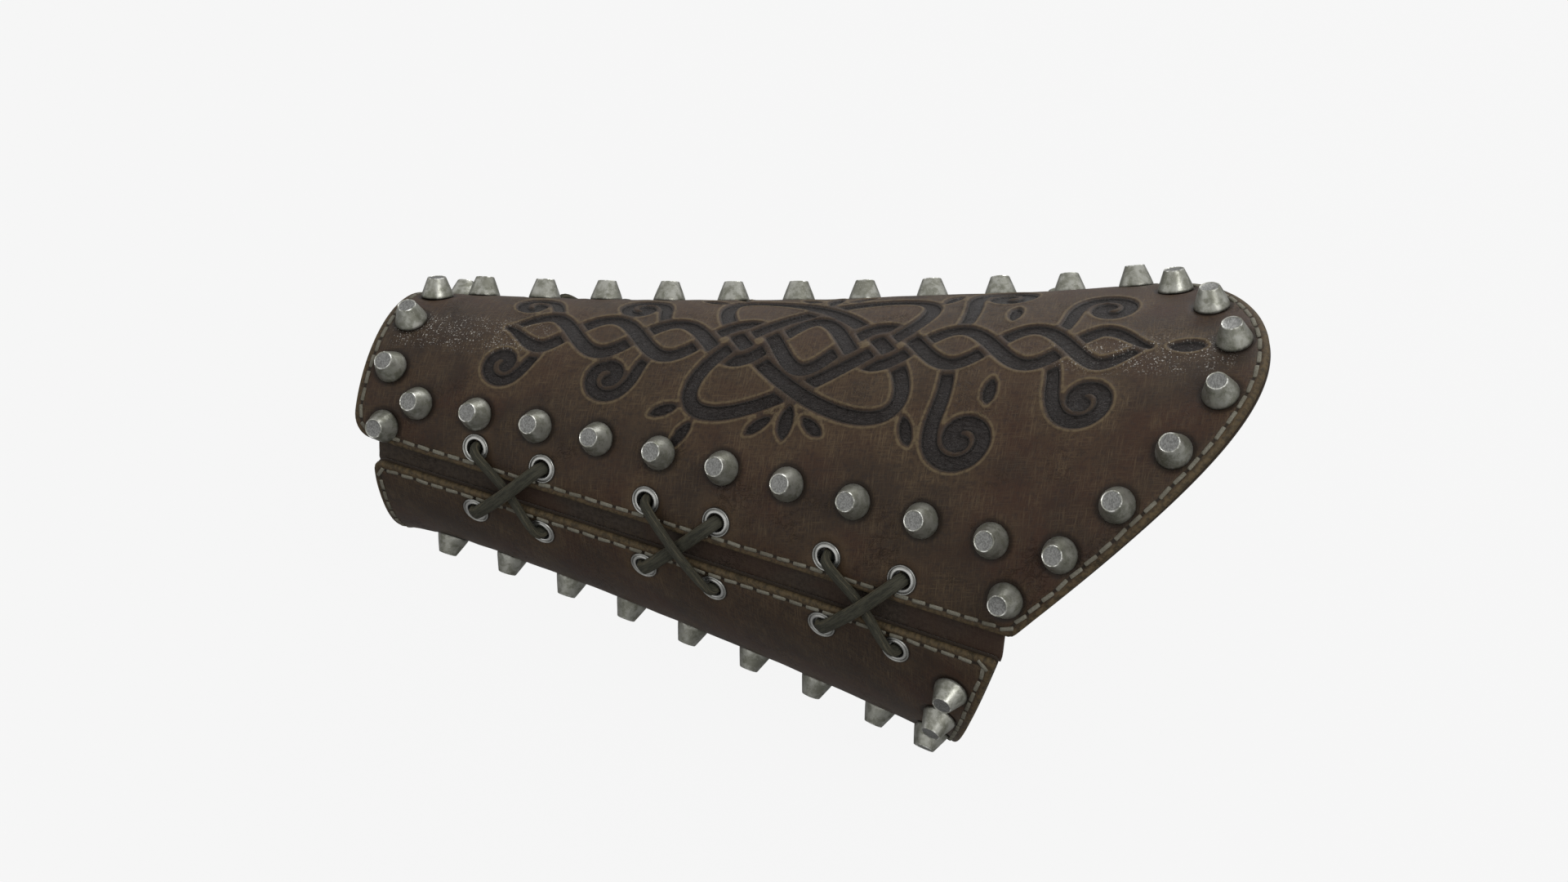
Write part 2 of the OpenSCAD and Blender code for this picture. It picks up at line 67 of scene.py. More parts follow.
view = {  # the photograph's viewing angle, in degrees
    "azimuth": 18.67, "elevation": 44.11, "roll": -2.47,
    "aim": (125.2, 0.0, 0.0), "aside": -3.58, "upward": 10.52, "distance": 617.81,
    "lens": 48.73, "sensor": 36, "nearest": 10, "farthest": 50000,
}


def makeCamera():
    azimuth, elevation, roll = (view[k] * degree for k in ("azimuth", "elevation", "roll"))
    back = Vector((
        math.sin(azimuth) * math.cos(elevation),
        -math.cos(azimuth) * math.cos(elevation),
        math.sin(elevation),
    ))
    right = Vector((math.cos(azimuth), math.sin(azimuth), 0))
    up = back.cross(right)
    across = right * math.cos(roll) + up * math.sin(roll)
    upright = up * math.cos(roll) - right * math.sin(roll)
    place = Vector(view["aim"]) + across * view["aside"] + upright * view["upward"]
    place = (place + back * view["distance"]) * mm
    data = bpy.data.cameras.new("camera")
    data.sensor_width = view["sensor"]
    data.lens = view["lens"]
    data.clip_start, data.clip_end = view["nearest"] * mm, view["farthest"] * mm
    camera = bpy.data.objects.new("camera", data)
    bpy.context.scene.collection.objects.link(camera)
    camera.matrix_world = Matrix((
        (across.x, upright.x, back.x, place.x),
        (across.y, upright.y, back.y, place.y),
        (across.z, upright.z, back.z, place.z),
        (0, 0, 0, 1),
    ))
    bpy.context.scene.camera = camera


makeCamera()
print("camera made")

# the bracer is a flared tube about X, from the wrist rim to the tip of its flap
flare = {"length": 252.0, "wristRadius": 33.6, "widening": 47.4, "waist": 18.8}
lip = {"rise": 4.6, "reach": 34.0, "start": 95 * degree, "full": 145 * degree, "bend": 1.5}
cut = {
    "lacedZ": 14.4,  # height of the outer panel's laced edge at the wrist
    "lacedRise": 9.6,
    "cornerX": 202.0,  # where the laced edge meets the flap
    "flapTurn": 5 * degree,  # the flap's tip leans to the near side
    "flapHollow": 2.3,
    "flapShoulder": 1.12,  # the far edge of the flap runs on past its corner
    "wristCorner": 6.0,
    "gapWrist": 6.0,  # gap between the laced edges
    "gapWidening": 2.0,
    "innerStart": 6.7,
    "innerCornerX": 199.0,
    "innerSlant": 18.0,  # how much shorter the inner panel is underneath
    "innerCorner": 3.0,
    "panelThickness": 3.2,
    "leatherThickness": 2.2,
}
seat = {  # the flats that studs and eyelets press into the leather
    "stud": 5.0, "eyelet": 4.3, "sink": 0.35, "fade": 1.2, "hole": 3.0, "holeSides": 28,
    "studRings": (4.4, 5.0, 5.6, 6.2, 7.2), "eyeletRings": (3.6, 4.3, 4.9, 5.5, 6.6),
    "plainRing": 4.2, "clear": 7.6,
}
fineness = {
    "side": 160, "flap": 60, "corner": 12, "wrist": 90, "innerWrist": 120, "step": 1.2, "soften": 10,
    "coarse": 5.0, "apart": 0.55, "coarseApart": 0.48,
}


def radiusAt(x):
    t = x / flare["length"]
    return flare["wristRadius"] + flare["widening"] * t - flare["waist"] * t * (1 - t)


def slopeAt(x):
    return np.arctan(
        (flare["widening"] - flare["waist"] * (1 - 2 * x / flare["length"])) / flare["length"]
    )


def lipAt(x, angle):  # the underside flares out a little more at the wrist
    fromTop = abs((angle + math.pi) % (2 * math.pi) - math.pi)
    low = np.clip((fromTop - lip["start"]) / (lip["full"] - lip["start"]), 0, 1)
    near = np.clip(1 - x / lip["reach"], 0, 1)
    return lip["rise"] * near ** lip["bend"] * low * low * (3 - 2 * low)


def onFlare(x, angle, height):
    x, angle, height = np.broadcast_arrays(x, angle, height)
    a = slopeAt(x)
    r = radiusAt(x) + lipAt(x, angle) + height * np.cos(a)
    return np.stack([x - height * np.sin(a), -r * np.sin(angle), r * np.cos(angle)], -1)


def outOfFlare(x, angle):
    x, angle = np.broadcast_arrays(x, angle)
    a = slopeAt(x)
    return np.stack([-np.sin(a), -np.cos(a) * np.sin(angle), np.cos(a) * np.cos(angle)], -1)


def angleRound(points, middle):
    angle = np.arctan2(-points[:, 1], points[:, 2])
    return middle + (angle - middle + math.pi) % (2 * math.pi) - math.pi


def flatten(x, angle, middle):
    return np.stack([x, (angle - middle) * radiusAt(x)], -1)


def unflatten(points, middle):
    return points[:, 0], middle + points[:, 1] / radiusAt(points[:, 0])


def lacedZ(x):
    return cut["lacedZ"] + cut["lacedRise"] * (x / cut["cornerX"]) ** 2


def innerLacedZ(x):
    return lacedZ(x) - cut["gapWrist"] - cut["gapWidening"] * x / cut["cornerX"]


def angleOf(x, z):
    return np.arccos(np.clip(z / radiusAt(x), -1, 1))


def flapEdge(t):  # the flap's edge seen square to its tip: 0 at the tip, 1 at the near corner
    tip = np.array([flare["length"], radiusAt(flare["length"])])
    x = cut["cornerX"]
    corner = np.array([x, radiusAt(x) * math.cos(angleOf(x, lacedZ(x)) - cut["flapTurn"])])
    aside = np.array([tip[1] - corner[1], corner[0] - tip[0]])
    aside /= np.linalg.norm(aside)
    t = np.asarray(t, float)[:, None]
    line = tip + (corner - tip) * t - aside * cut["flapHollow"] * 4 * t * (1 - t)
    return line[:, 0], angleOf(line[:, 0], line[:, 1])


def cornerArc(x, z, r, start, end):
    a = np.linspace(start, end, fineness["corner"]) * degree
    return x + r * np.cos(a), z + r * np.sin(a)


def outerOutline():
    r, many = cut["wristCorner"], fineness["side"]
    x1, z1 = cornerArc(r, lacedZ(r) + r, r, 180, 270)
    share = np.linspace(0, 1, fineness["flap"])
    x3, a3 = flapEdge(share[::-1] ** 2)
    x4, a4 = flapEdge(cut["flapShoulder"] * share[1:] ** 2)
    sides = []
    for stop in (cut["cornerX"], x4[-1]):  # the near laced edge, then the far one
        x2 = np.linspace(2 * r, stop, many)
        x = np.concatenate([x1, x2])
        sides.append((x, angleOf(x, np.concatenate([z1, lacedZ(x2)]))))
    (nearX, nearAngle), (farX, farAngle) = sides
    shoulder = np.linspace(cut["flapTurn"] - a4[-1], -farAngle[-1], fineness["corner"])[1:-1]
    wrist = np.linspace(-farAngle[0], nearAngle[0], fineness["wrist"])[1:-1]
    x = np.concatenate([nearX, x3[1:], x4, np.full(len(shoulder), x4[-1]), farX[::-1], 0 * wrist])
    angle = np.concatenate(
        [nearAngle, (cut["flapTurn"] + a3)[1:], cut["flapTurn"] - a4, shoulder, -farAngle[::-1], wrist]
    )
    return x, angle


def endOfInner(angle):  # where the flare meets the slanted cut under the elbow
    keel = cut["innerCornerX"] - cut["innerSlant"]
    keelZ, cornerZ = -radiusAt(keel), innerLacedZ(cut["innerCornerX"])
    return keel, lambda r: keel + cut["innerSlant"] * (r * np.cos(angle) - keelZ) / (cornerZ - keelZ)


def innerOutline():
    r, start, many = cut["innerCorner"], cut["innerStart"], fineness["side"]
    x1, z1 = cornerArc(start + r, innerLacedZ(start + r) - r, r, 180, 90)
    x2 = np.linspace(start + 2 * r, cut["innerCornerX"], many)
    nearX = np.concatenate([x1, x2])
    near = angleOf(nearX, np.concatenate([z1, innerLacedZ(x2)]))
    under = np.linspace(near[-1], 2 * math.pi - near[-1], many)[1:-1]
    keel, endAt = endOfInner(under)
    endX = np.full(len(under), keel)
    for _ in range(8):  # the cut and the flare settle on each other
        endX = endAt(radiusAt(endX))
    wrist = np.linspace(2 * math.pi - near[0], near[0], fineness["innerWrist"])[1:-1]
    x = np.concatenate([nearX, endX, nearX[::-1], np.full(len(wrist), start)])
    return x, np.concatenate([near, under, 2 * math.pi - near[::-1], wrist])


def tongueOutline(side):
    x = np.linspace(cut["innerStart"], cut["innerCornerX"], fineness["side"])
    r = radiusAt(x)
    under = r - tongue["depth"]
    top = angleOf(x, lacedZ(x)) - tongue["tuck"] / under
    foot = angleOf(x, innerLacedZ(x)) + tongue["seam"] / under
    return np.concatenate([x, x[::-1]]), side * np.concatenate([top, foot[::-1]])


# where studs and eyelets stand
rows = {
    "outer": {"count": 10, "x": 20.2, "stop": 193.0, "riseWrist": 11.7, "riseElbow": 20.5},
    "wrist": {"count": 5, "x": 8.6, "bow": 1.8, "end": 5.2},
    "inner": {"count": 8, "x": 24.4, "pitch": 19.7, "angle": 134 * degree},
    "innerEnd": {"count": 14, "inset": 8.0, "drop": 16.4},
    "eyelet": {"x": 51.4, "pitch": 54.4, "crosses": 3, "apart": 21.6, "inset": 6.9},
}
elbowSpots = [  # distance from the wrist rim, and degrees round from the top to the near side
    (199.27, 61.09), (211.11, 48.79), (222.94, 36.98), (233.99, 25.15), (242.30, 12.49),
    (242.75, -1.30), (234.88, -14.09), (223.96, -25.94), (212.16, -37.73), (188.71, -62.33),
]


def outerStudSpots():
    row = rows["outer"]
    x = np.linspace(row["x"], row["stop"], row["count"])
    z = np.linspace(lacedZ(x[0]) + row["riseWrist"], lacedZ(x[-1]) + row["riseElbow"], row["count"])
    angle = angleOf(x, z)
    wrist = rows["wrist"]
    share = np.linspace(-1, 1, wrist["count"])
    wristX = wrist["x"] + wrist["bow"] * share ** 2
    endX = wristX[0]
    end = angleOf(endX, lacedZ(endX)) - wrist["end"] / radiusAt(endX)
    elbow = np.array(elbowSpots) * (1, degree)
    return np.vstack([
        np.stack([x, angle], 1), np.stack([x, -angle], 1), np.stack([wristX, end * share], 1), elbow
    ])


def innerStudSpots():
    row, end, cornerX = rows["inner"], rows["innerEnd"], cut["innerCornerX"]
    x = row["x"] + row["pitch"] * np.arange(row["count"])
    angle = np.full(len(x), row["angle"])
    start = angleOf(cornerX, innerLacedZ(cornerX)) + end["drop"] / radiusAt(cornerX)
    endAngle = np.linspace(start, 2 * math.pi - start, end["count"])
    keel, endAt = endOfInner(endAngle)
    endX = endAt(radiusAt(keel)) - end["inset"]
    return np.vstack([
        np.stack([x, angle], 1), np.stack([x, 2 * math.pi - angle], 1), np.stack([endX, endAngle], 1)
    ])


def eyeletAngle(x, onOuter):  # on the near side
    inset = rows["eyelet"]["inset"] / radiusAt(x)
    return angleOf(x, lacedZ(x)) - inset if onOuter else angleOf(x, innerLacedZ(x)) + inset


def eyeletSpots(onOuter):
    row = rows["eyelet"]
    centre = row["x"] + row["pitch"] * np.arange(row["crosses"])
    x = np.sort(np.concatenate([centre - row["apart"] / 2, centre + row["apart"] / 2]))
    angle = eyeletAngle(x, onOuter)
    far = -angle if onOuter else 2 * math.pi - angle
    return np.vstack([np.stack([x, angle], 1), np.stack([x, far], 1)])


def resample(points, step, closed=True):
    p = np.asarray(points, float)
    if closed:
        p = np.vstack([p, p[:1]])
    run = np.concatenate([[0], np.cumsum(np.linalg.norm(np.diff(p, axis=0), axis=1))])
    count = max(3, int(round(run[-1] / step)))
    wanted = np.linspace(0, run[-1], count if closed else count + 1, endpoint=not closed)
    return np.stack([np.interp(wanted, run, p[:, k]) for k in range(p.shape[1])], 1)


def smoothLoop(points, rounds):
    for _ in range(rounds):
        points = points / 2 + (np.roll(points, 1, 0) + np.roll(points, -1, 0)) / 4
    return points


def insideLoop(points, loop):
    x, y = points[:, 0], points[:, 1]
    inside = np.zeros(len(points), bool)
    for (ax, ay), (bx, by) in zip(loop, np.roll(loop, -1, 0)):
        if ay != by:
            inside ^= ((ay > y) != (by > y)) & (x < (bx - ax) * (y - ay) / (by - ay) + ax)
    return inside


def treeOf(points):
    tree = KDTree(len(points))
    for i, p in enumerate(points):
        tree.insert(p, i)
    tree.balance()
    return tree


def distanceTo(points, loop):  # from each point to a closed line in space
    tree = treeOf(loop)
    nearest = np.array([tree.find(p)[1] for p in points])
    found = np.full(len(points), 1e9)
    for shift in (-1, 0):
        a, b = loop[(nearest + shift) % len(loop)], loop[(nearest + shift + 1) % len(loop)]
        t = np.clip(((points - a) * (b - a)).sum(1) / ((b - a) ** 2).sum(1), 0, 1)
        found = np.minimum(found, np.linalg.norm(points - a - t[:, None] * (b - a), axis=1))
    return found


def spotDistance(points, spots):
    centres = onFlare(spots[:, 0], spots[:, 1], 0.0)
    tree = treeOf(centres)
    return np.array([tree.find(p)[2] for p in points])


def circleAt(spot, radius, count):  # points of a circle on the flare round a stud or eyelet
    a = np.arange(count) * 2 * math.pi / count
    x = spot[0] + radius * np.cos(a) * math.cos(slopeAt(spot[0]))
    return x, spot[1] + radius * np.sin(a) / radiusAt(x)


def makePanel(outline, middle, step=fineness["step"], softness=fineness["soften"]):
    x, angle = outline
    line = resample(onFlare(x, angle, 0.0), step / 3)
    line = smoothLoop(line, softness)
    line = resample(line, step)
    x, angle = line[:, 0], angleRound(line, middle)
    return {"middle": middle, "line": onFlare(x, angle, 0.0), "flat": flatten(x, angle, middle)}


def inwardOf(panel):
    line = panel["line"]
    along = np.roll(line, -1, 0) - np.roll(line, 1, 0)
    along /= np.linalg.norm(along, axis=1)[:, None]
    out = outOfFlare(line[:, 0], angleRound(line, panel["middle"]))
    inward = np.cross(out, along)
    probe = line + inward
    flat = flatten(probe[:, 0], angleRound(probe, panel["middle"]), panel["middle"])
    return inward if insideLoop(flat, panel["flat"]).mean() > 0.5 else -inward


def ringsInside(panel, distances):
    inward = inwardOf(panel)
    found = []
    for d in distances:
        moved = panel["line"] + inward * d
        moved = moved[distanceTo(moved, panel["line"]) > 0.93 * d]
        found.append(flatten(moved[:, 0], angleRound(moved, panel["middle"]), panel["middle"]))
    return np.vstack(found)


def hexGrid(low, high, step):
    rise = step * math.sqrt(3) / 2
    xs = np.arange(low[0], high[0], step)
    ys = np.arange(low[1], high[1], rise)
    x, y = np.meshgrid(xs, ys)
    x = x + (np.arange(len(ys)) % 2)[:, None] * step / 2
    return np.stack([x.ravel(), y.ravel()], 1)


def keepApart(points, others, gap):
    tree = treeOf(np.column_stack([others, np.zeros(len(others))]))
    far = [tree.find((p[0], p[1], 0))[2] > gap for p in points]
    return points[np.array(far, bool)]


def triangulate(loops, extra):
    coords = np.vstack([*loops, extra])
    edges, start = [], 0
    for loop in loops:
        count = len(loop)
        edges += [(start + i, start + (i + 1) % count) for i in range(count)]
        start += count
    found = delaunay_2d_cdt([Vector(c) for c in coords], edges, [], 0, 1e-6)
    points, faces = np.array([v[:] for v in found[0]]), np.array(found[2])
    place = {old: new for new, olds in enumerate(found[3]) for old in olds}
    centre = points[faces].mean(1)
    keep = insideLoop(centre, loops[0])
    for hole in loops[1:]:
        keep &= ~insideLoop(centre, hole)
    indexes, start = [], 0
    for loop in loops:
        indexes.append(np.array([place[start + i] for i in range(len(loop))]))
        start += len(loop)
    return points, faces[keep], indexes


def meshFrom(name, points, faces, attributes=None, sharpAngle=50):
    used = np.unique(np.concatenate([np.ravel(f) for f in faces]))
    renumber = np.full(len(points), -1)
    renumber[used] = np.arange(len(used))
    mesh = bpy.data.meshes.new(name)
    mesh.from_pydata((points[used] * mm).tolist(), [], [renumber[np.asarray(f)].tolist() for f in faces])
    for key, values in (attributes or {}).items():
        values = np.asarray(values, np.float32)[used]
        kind, field = ("FLOAT", "value") if values.ndim == 1 else ("FLOAT_VECTOR", "vector")
        mesh.attributes.new(key, kind, "POINT").data.foreach_set(field, values.ravel())
    form = bmesh.new()
    form.from_mesh(mesh)
    bmesh.ops.recalc_face_normals(form, faces=form.faces)
    if form.calc_volume(signed=True) < 0:
        bmesh.ops.reverse_faces(form, faces=form.faces)
    form.to_mesh(mesh)
    form.free()
    mesh.shade_smooth()
    if sharpAngle:
        mesh.set_sharp_from_angle(angle=sharpAngle * degree)
    thing = bpy.data.objects.new(name, mesh)
    bpy.context.scene.collection.objects.link(thing)
    return thing


def roundOver(distance, radius):
    d = np.clip(distance, 0, radius)
    return radius - np.sqrt(np.maximum(radius ** 2 - (radius - d) ** 2, 0))


def softStep(value, low, high):
    t = np.clip((value - low) / (high - low), 0, 1)
    return t * t * (3 - 2 * t)


def makeSheet(name, panel, top, bottom, roundness, holes=(), extra=None, rings=(), fill=2.2, art=None):
    # a leather part: a fine upper face, a coarse lower one, rounded edges and eyelet holes
    middle, flat = panel["middle"], panel["flat"]
    circles = [flatten(*circleAt(spot, seat["hole"], seat["holeSides"]), middle) for spot in holes]
    low, high = flat.min(0), flat.max(0)

    def onLeather(points):
        points = points[insideLoop(points, flat)]
        for circle in circles:
            points = points[~insideLoop(points, circle)]
        return points

    detail = onLeather(np.vstack([p for p in (ringsInside(panel, rings), extra) if p is not None]))
    grid = onLeather(hexGrid(low, high, fill))
    grid = keepApart(grid, np.vstack([flat, detail, *circles]), fill * fineness["apart"])
    upper, upperFaces, upperLoops = triangulate([flat, *circles], np.vstack([detail, grid]))
    edgeRings = ringsInside(panel, [r for r in rings if r <= roundness * 1.05])
    coarse, apart = fineness["coarse"], fineness["coarse"] * fineness["coarseApart"]
    coarse = keepApart(onLeather(hexGrid(low, high, coarse)), np.vstack([flat, edgeRings, *circles]), apart)
    lower, lowerFaces, lowerLoops = triangulate([flat, *circles], np.vstack([edgeRings, coarse]))

    def lift(points, level, sign):
        x, angle = unflatten(points, middle)
        edge = distanceTo(onFlare(x, angle, 0.0), panel["line"])
        return x, angle, edge, level(x, angle, edge) - sign * roundOver(edge, roundness)

    x, angle, edge, height = lift(upper, top, 1)
    x2, angle2, edge2, height2 = lift(lower, bottom, -1)
    points = np.vstack([onFlare(x, angle, height), onFlare(x2, angle2, height2)])
    shared = np.arange(len(lower)) + len(upper)
    shared[lowerLoops[0]] = upperLoops[0]
    faces = [*upperFaces, *shared[lowerFaces]]
    for above, below in zip(upperLoops[1:], lowerLoops[1:]):
        for i in range(len(above)):
            j = (i + 1) % len(above)
            faces.append([above[i], above[j], shared[below[j]], shared[below[i]]])
    flatPlace = np.vstack([upper, lower])
    facts = {
        "edge": np.concatenate([edge, edge2]),
        "flat": np.column_stack([flatPlace, np.zeros(len(flatPlace))]),
    }
    for key, values in (art(x, angle) if art else {}).items():
        facts[key] = np.concatenate([values, np.full(len(lower), farAway)])
    return meshFrom(name, points, faces, facts)


def fixingRings(spots, radii, middle, sides=24):
    return np.vstack([flatten(*circleAt(s, r, sides), middle) for s in spots for r in radii])


# the tooled pattern: a plait with two loops, scrolls and leaves, as distances from its bands
tooling = {
    "deep": 0.8,  # how far the ground of the pattern is pressed in
    "wall": 0.45,
    "shoulder": 0.22,  # the wall starts this far outside the band
    "burr": 0.2,
    "burrAt": 0.85,
    "burrWidth": 0.35,
    "ridge": 1.5,  # standing line where one band passes under another
    "crossing": 6.0,  # how far a crossing reaches
    "band": 2.15,
    "start": 40.0,
    "stop": 222.0,
    "turn": 20.2,  # half a wave of the plait
    "swell": 7.0,
    "middleX": 131.0,
    "middleSwell": 3.0,
    "middleReach": 17,
    "endBand": 0.9,  # the bands taper towards their ends
    "taper": 10,
    "loop": (36, 13.9, 38 * degree),
    "grid": 0.35,
    "corner": (28, -58),
    "size": (212, 116),
    "outermost": 1.35,  # the last line of points round a band
    "fillFrom": (30, -56),
    "fillTo": (238, 56),
    "fill": 1.15,
    "fillReach": (-0.95, 1.8, 4.0),  # filled inside the first distance and between the other two
}


def strokeField(points, line, half):
    found = np.full(len(points), farAway)
    reach = half.max() + 4
    near = np.all((points > line.min(0) - reach) & (points < line.max(0) + reach), 1)
    p = points[near]
    best = np.full(len(p), farAway)
    for a, b, wa, wb in zip(line[:-1], line[1:], half[:-1], half[1:]):
        d = b - a
        t = np.clip(((p - a) @ d) / max(d @ d, 1e-9), 0, 1)
        best = np.minimum(best, np.hypot(*(p - a - t[:, None] * d).T) - wa - (wb - wa) * t)
    found[near] = best
    return found


def band(points, half, closed=False):
    line = np.vstack([points, points[:1]]) if closed else np.asarray(points, float)
    line = resample(line, 1.0, False)
    share = np.linspace(0, 1, len(line))
    half = np.interp(share, np.linspace(0, 1, len(half)), half) if np.ndim(half) else np.full(len(line), half)
    return {"line": line, "half": half, "closed": closed}


def bend(start, heading, turns):  # a line from runs of (length, curvature at start, at end)
    p, a = np.array(start, float), heading * degree
    found = [p.copy()]
    for length, k0, k1 in turns:
        steps = max(4, int(length / 0.5))
        for i in range(steps):
            a += (k0 + (k1 - k0) * (i + 0.5) / steps) * length / steps
            p = p + np.array([math.cos(a), math.sin(a)]) * length / steps
            found.append(p.copy())
    return found, p, a


def scroll(start, heading, stem, radius, way, half):
    # a stem of (length, curvature) runs that winds up into a round scroll: way 1 turns to the left
    found, p, a = bend(start, heading, [(length, curve, curve) for length, curve in stem])
    normal = np.array([-math.sin(a), math.cos(a)]) * way
    centre = p + normal * radius
    pitch = 2 * half + 1.3
    for wound in np.arange(0.12, 2 * math.pi * (radius - 1.3) / pitch, 0.12):
        r = radius - pitch * wound / (2 * math.pi)
        c, d = math.cos(wound * way), math.sin(wound * way)
        out = -normal
        found.append(centre + r * np.array([out[0] * c - out[1] * d, out[0] * d + out[1] * c]))
    return band(np.array(found), half * np.array([0.8, 0.95, 1.0, 1.0, 1.0, 1.15]))


def knotBands():
    c, wide, start, stop = (tooling[k] for k in ("middleX", "band", "start", "stop"))
    x = np.arange(start, stop + 0.1, 0.5)
    swell = np.clip((x - start + 2) / 15, 0, 1) ** 0.6 * np.clip((stop + 2 - x) / 15, 0, 1) ** 0.6
    middle = np.exp(-((x - c) / tooling["middleReach"]) ** 2)
    swell = tooling["swell"] * swell + tooling["middleSwell"] * middle
    wave = swell * np.sin(math.pi * (x - start) / tooling["turn"])
    narrow, taper = tooling["endBand"], tooling["taper"]
    w = np.interp(x, [start, start + taper, stop - taper, stop], [narrow, wide, wide, narrow])
    strands = [band(np.stack([x, wave], 1), w), band(np.stack([x, -wave], 1), w)]
    u = np.arange(0, 2 * math.pi, 0.02)
    across, high, lean = tooling["loop"]
    for tilt in (lean, -lean):
        ex, ey = across * np.cos(u), high * np.sin(u)
        strands.append(band(np.stack([
            c + ex * math.cos(tilt) - ey * math.sin(tilt), ex * math.sin(tilt) + ey * math.cos(tilt)
        ], 1), wide, True))
    return strands


def crossings(bands):
    found = []
    for i, first in enumerate(bands):
        for j in range(i + 1, len(bands)):
            a, b = first["line"][:-1], first["line"][1:]
            c, d = bands[j]["line"][:-1], bands[j]["line"][1:]
            r, s = (b - a)[:, None], (d - c)[None]
            q = c[None] - a[:, None]
            across = r[..., 0] * s[..., 1] - r[..., 1] * s[..., 0]
            across = np.where(abs(across) < 1e-9, 1e-9, across)
            t = (q[..., 0] * s[..., 1] - q[..., 1] * s[..., 0]) / across
            v = (q[..., 0] * r[..., 1] - q[..., 1] * r[..., 0]) / across
            for m, n in zip(*np.nonzero((t >= 0) & (t < 1) & (v >= 0) & (v < 1))):
                found.append((i, m + t[m, n], j, n + v[m, n], a[m] + (b[m] - a[m]) * t[m, n]))
    return found


def overAndUnder(bands):
    # each band passes over and under in turn along its way
    met = crossings(bands)
    order = {i: [] for i in range(len(bands))}
    for k, (i, ti, j, tj, _) in enumerate(met):
        order[i].append((ti, k))
        order[j].append((tj, k))
    links = {k: [] for k in range(len(met))}
    for i, found in order.items():
        found = [k for _, k in sorted(found)]
        pairs = list(zip(found, found[1:]))
        if bands[i]["closed"] and len(found) > 2:
            pairs.append((found[-1], found[0]))
        for a, b in pairs:
            same = (met[a][0] == i) == (met[b][0] == i)
            links[a].append((b, same))
            links[b].append((a, same))
    firstOver = {}
    for start in range(len(met)):
        if start in firstOver:
            continue
        firstOver[start] = True
        waiting = [start]
        while waiting:
            a = waiting.pop()
            for b, same in links[a]:
                if b not in firstOver:
                    firstOver[b] = firstOver[a] != same
                    waiting.append(b)
    return met, firstOver


def knotField(points, bands):
    fields = [strokeField(points, b["line"], b["half"]) for b in bands]
    met, firstOver = overAndUnder(bands)
    cutFields = [f.copy() for f in fields]
    for k, (i, _, j, _, place) in enumerate(met):
        over, under = (i, j) if firstOver[k] else (j, i)
        near = np.hypot(*(points - place).T) < tooling["crossing"]
        hidden = tooling["ridge"] - fields[over][near]
        cutFields[under][near] = np.maximum(cutFields[under][near], hidden)
    return np.min(cutFields, 0)


def scrollBands():
    # stems that leave the plait outwards and end in a round scroll, the same on both sides
    found = []
    for start, heading, stem, radius, way, half in (
        ((54, 6.0), 120, [(8, -0.01), (5, 0.06)], 6.0, 1, 1.7),
        ((86, 6.0), 112, [(9, -0.02), (6, 0.10)], 6.6, 1, 1.8),
        ((171, 7.0), 78, [(17, 0.022), (8, -0.05)], 8.2, -1, 2.15),
        ((198, 6.0), 70, [(9, 0.03), (8, -0.06)], 7.4, -1, 2.05),
    ):
        piece = scroll(start, heading, stem, radius, way, half)
        found.append(piece)
        found.append(dict(piece, line=piece["line"] * (1, -1)))
    return found


def leafBands():
    found = []
    for x, s, heading, length, half in (
        (131, 21.5, 90, 10, 2.1), (126.5, 25, 140, 8, 1.7), (135.5, 25, 40, 8, 1.7), (227, 0, 0, 9, 2.3),
        (99, 23, 160, 8, 1.7), (163, 24, 70, 9, 1.8), (184, 12, 90, 8, 1.8), (104, 27.5, 120, 8, 1.7),
    ):
        line = bend((x, s), heading, [(length, 0.02, -0.05)])[0]
        leaf = band(np.array(line), np.array([0.2, 0.8, 1.0, 0.85, 0.15]) * half)
        found.append(leaf)
        if s:
            found.append(dict(leaf, line=leaf["line"] * (1, -1)))
    return found


def patternField(points):
    knot = knotField(points, knotBands())
    field = knot.copy()
    for piece in scrollBands():
        stem = strokeField(points, piece["line"], piece["half"])
        field = np.minimum(field, np.maximum(stem, tooling["ridge"] - knot))
    for piece in leafBands():
        leaf = strokeField(points, piece["line"], piece["half"])
        field = np.minimum(field, np.maximum(leaf, tooling["ridge"] - field))
    return field


def contourLines(field, xs, ys, level):
    # closed or open lines where the field passes a level, by marching squares
    f = field - level
    f = np.where(f == 0, 1e-6, f)
    points, where = [], {}

    def crossing(key):
        if key not in where:
            i, j, way = key
            a, b = f[i, j], f[i + (way == 0), j + (way == 1)]
            t = a / (a - b)
            where[key] = len(points)
            points.append((
                xs[i] + (t * (xs[1] - xs[0]) if way == 0 else 0),
                ys[j] + (t * (ys[1] - ys[0]) if way == 1 else 0),
            ))
        return where[key]

    sign = f > 0
    mixed = (sign[:-1, :-1] != sign[1:, :-1]) | (sign[:-1, :-1] != sign[:-1, 1:])
    mixed |= sign[1:, 1:] != sign[1:, :-1]
    links = {}
    for i, j in zip(*np.nonzero(mixed)):
        sides = []
        for key, a, b in (
            ((i, j, 0), sign[i, j], sign[i + 1, j]), ((i + 1, j, 1), sign[i + 1, j], sign[i + 1, j + 1]),
            ((i, j + 1, 0), sign[i, j + 1], sign[i + 1, j + 1]), ((i, j, 1), sign[i, j], sign[i, j + 1]),
        ):
            if a != b:
                sides.append(crossing(key))
        for a, b in zip(sides[::2], sides[1::2]):
            links.setdefault(a, []).append(b)
            links.setdefault(b, []).append(a)
    points = np.array(points)
    seen, lines = set(), []
    for start in sorted(links, key=lambda k: len(links[k])):
        if start in seen:
            continue
        line, here = [start], start
        seen.add(start)
        while True:
            onward = [k for k in links[here] if k not in seen]
            if not onward:
                break
            here = onward[0]
            seen.add(here)
            line.append(here)
        closed = len(line) > 3 and start in links[line[-1]]
        lines.append((points[line], closed))
    return lines


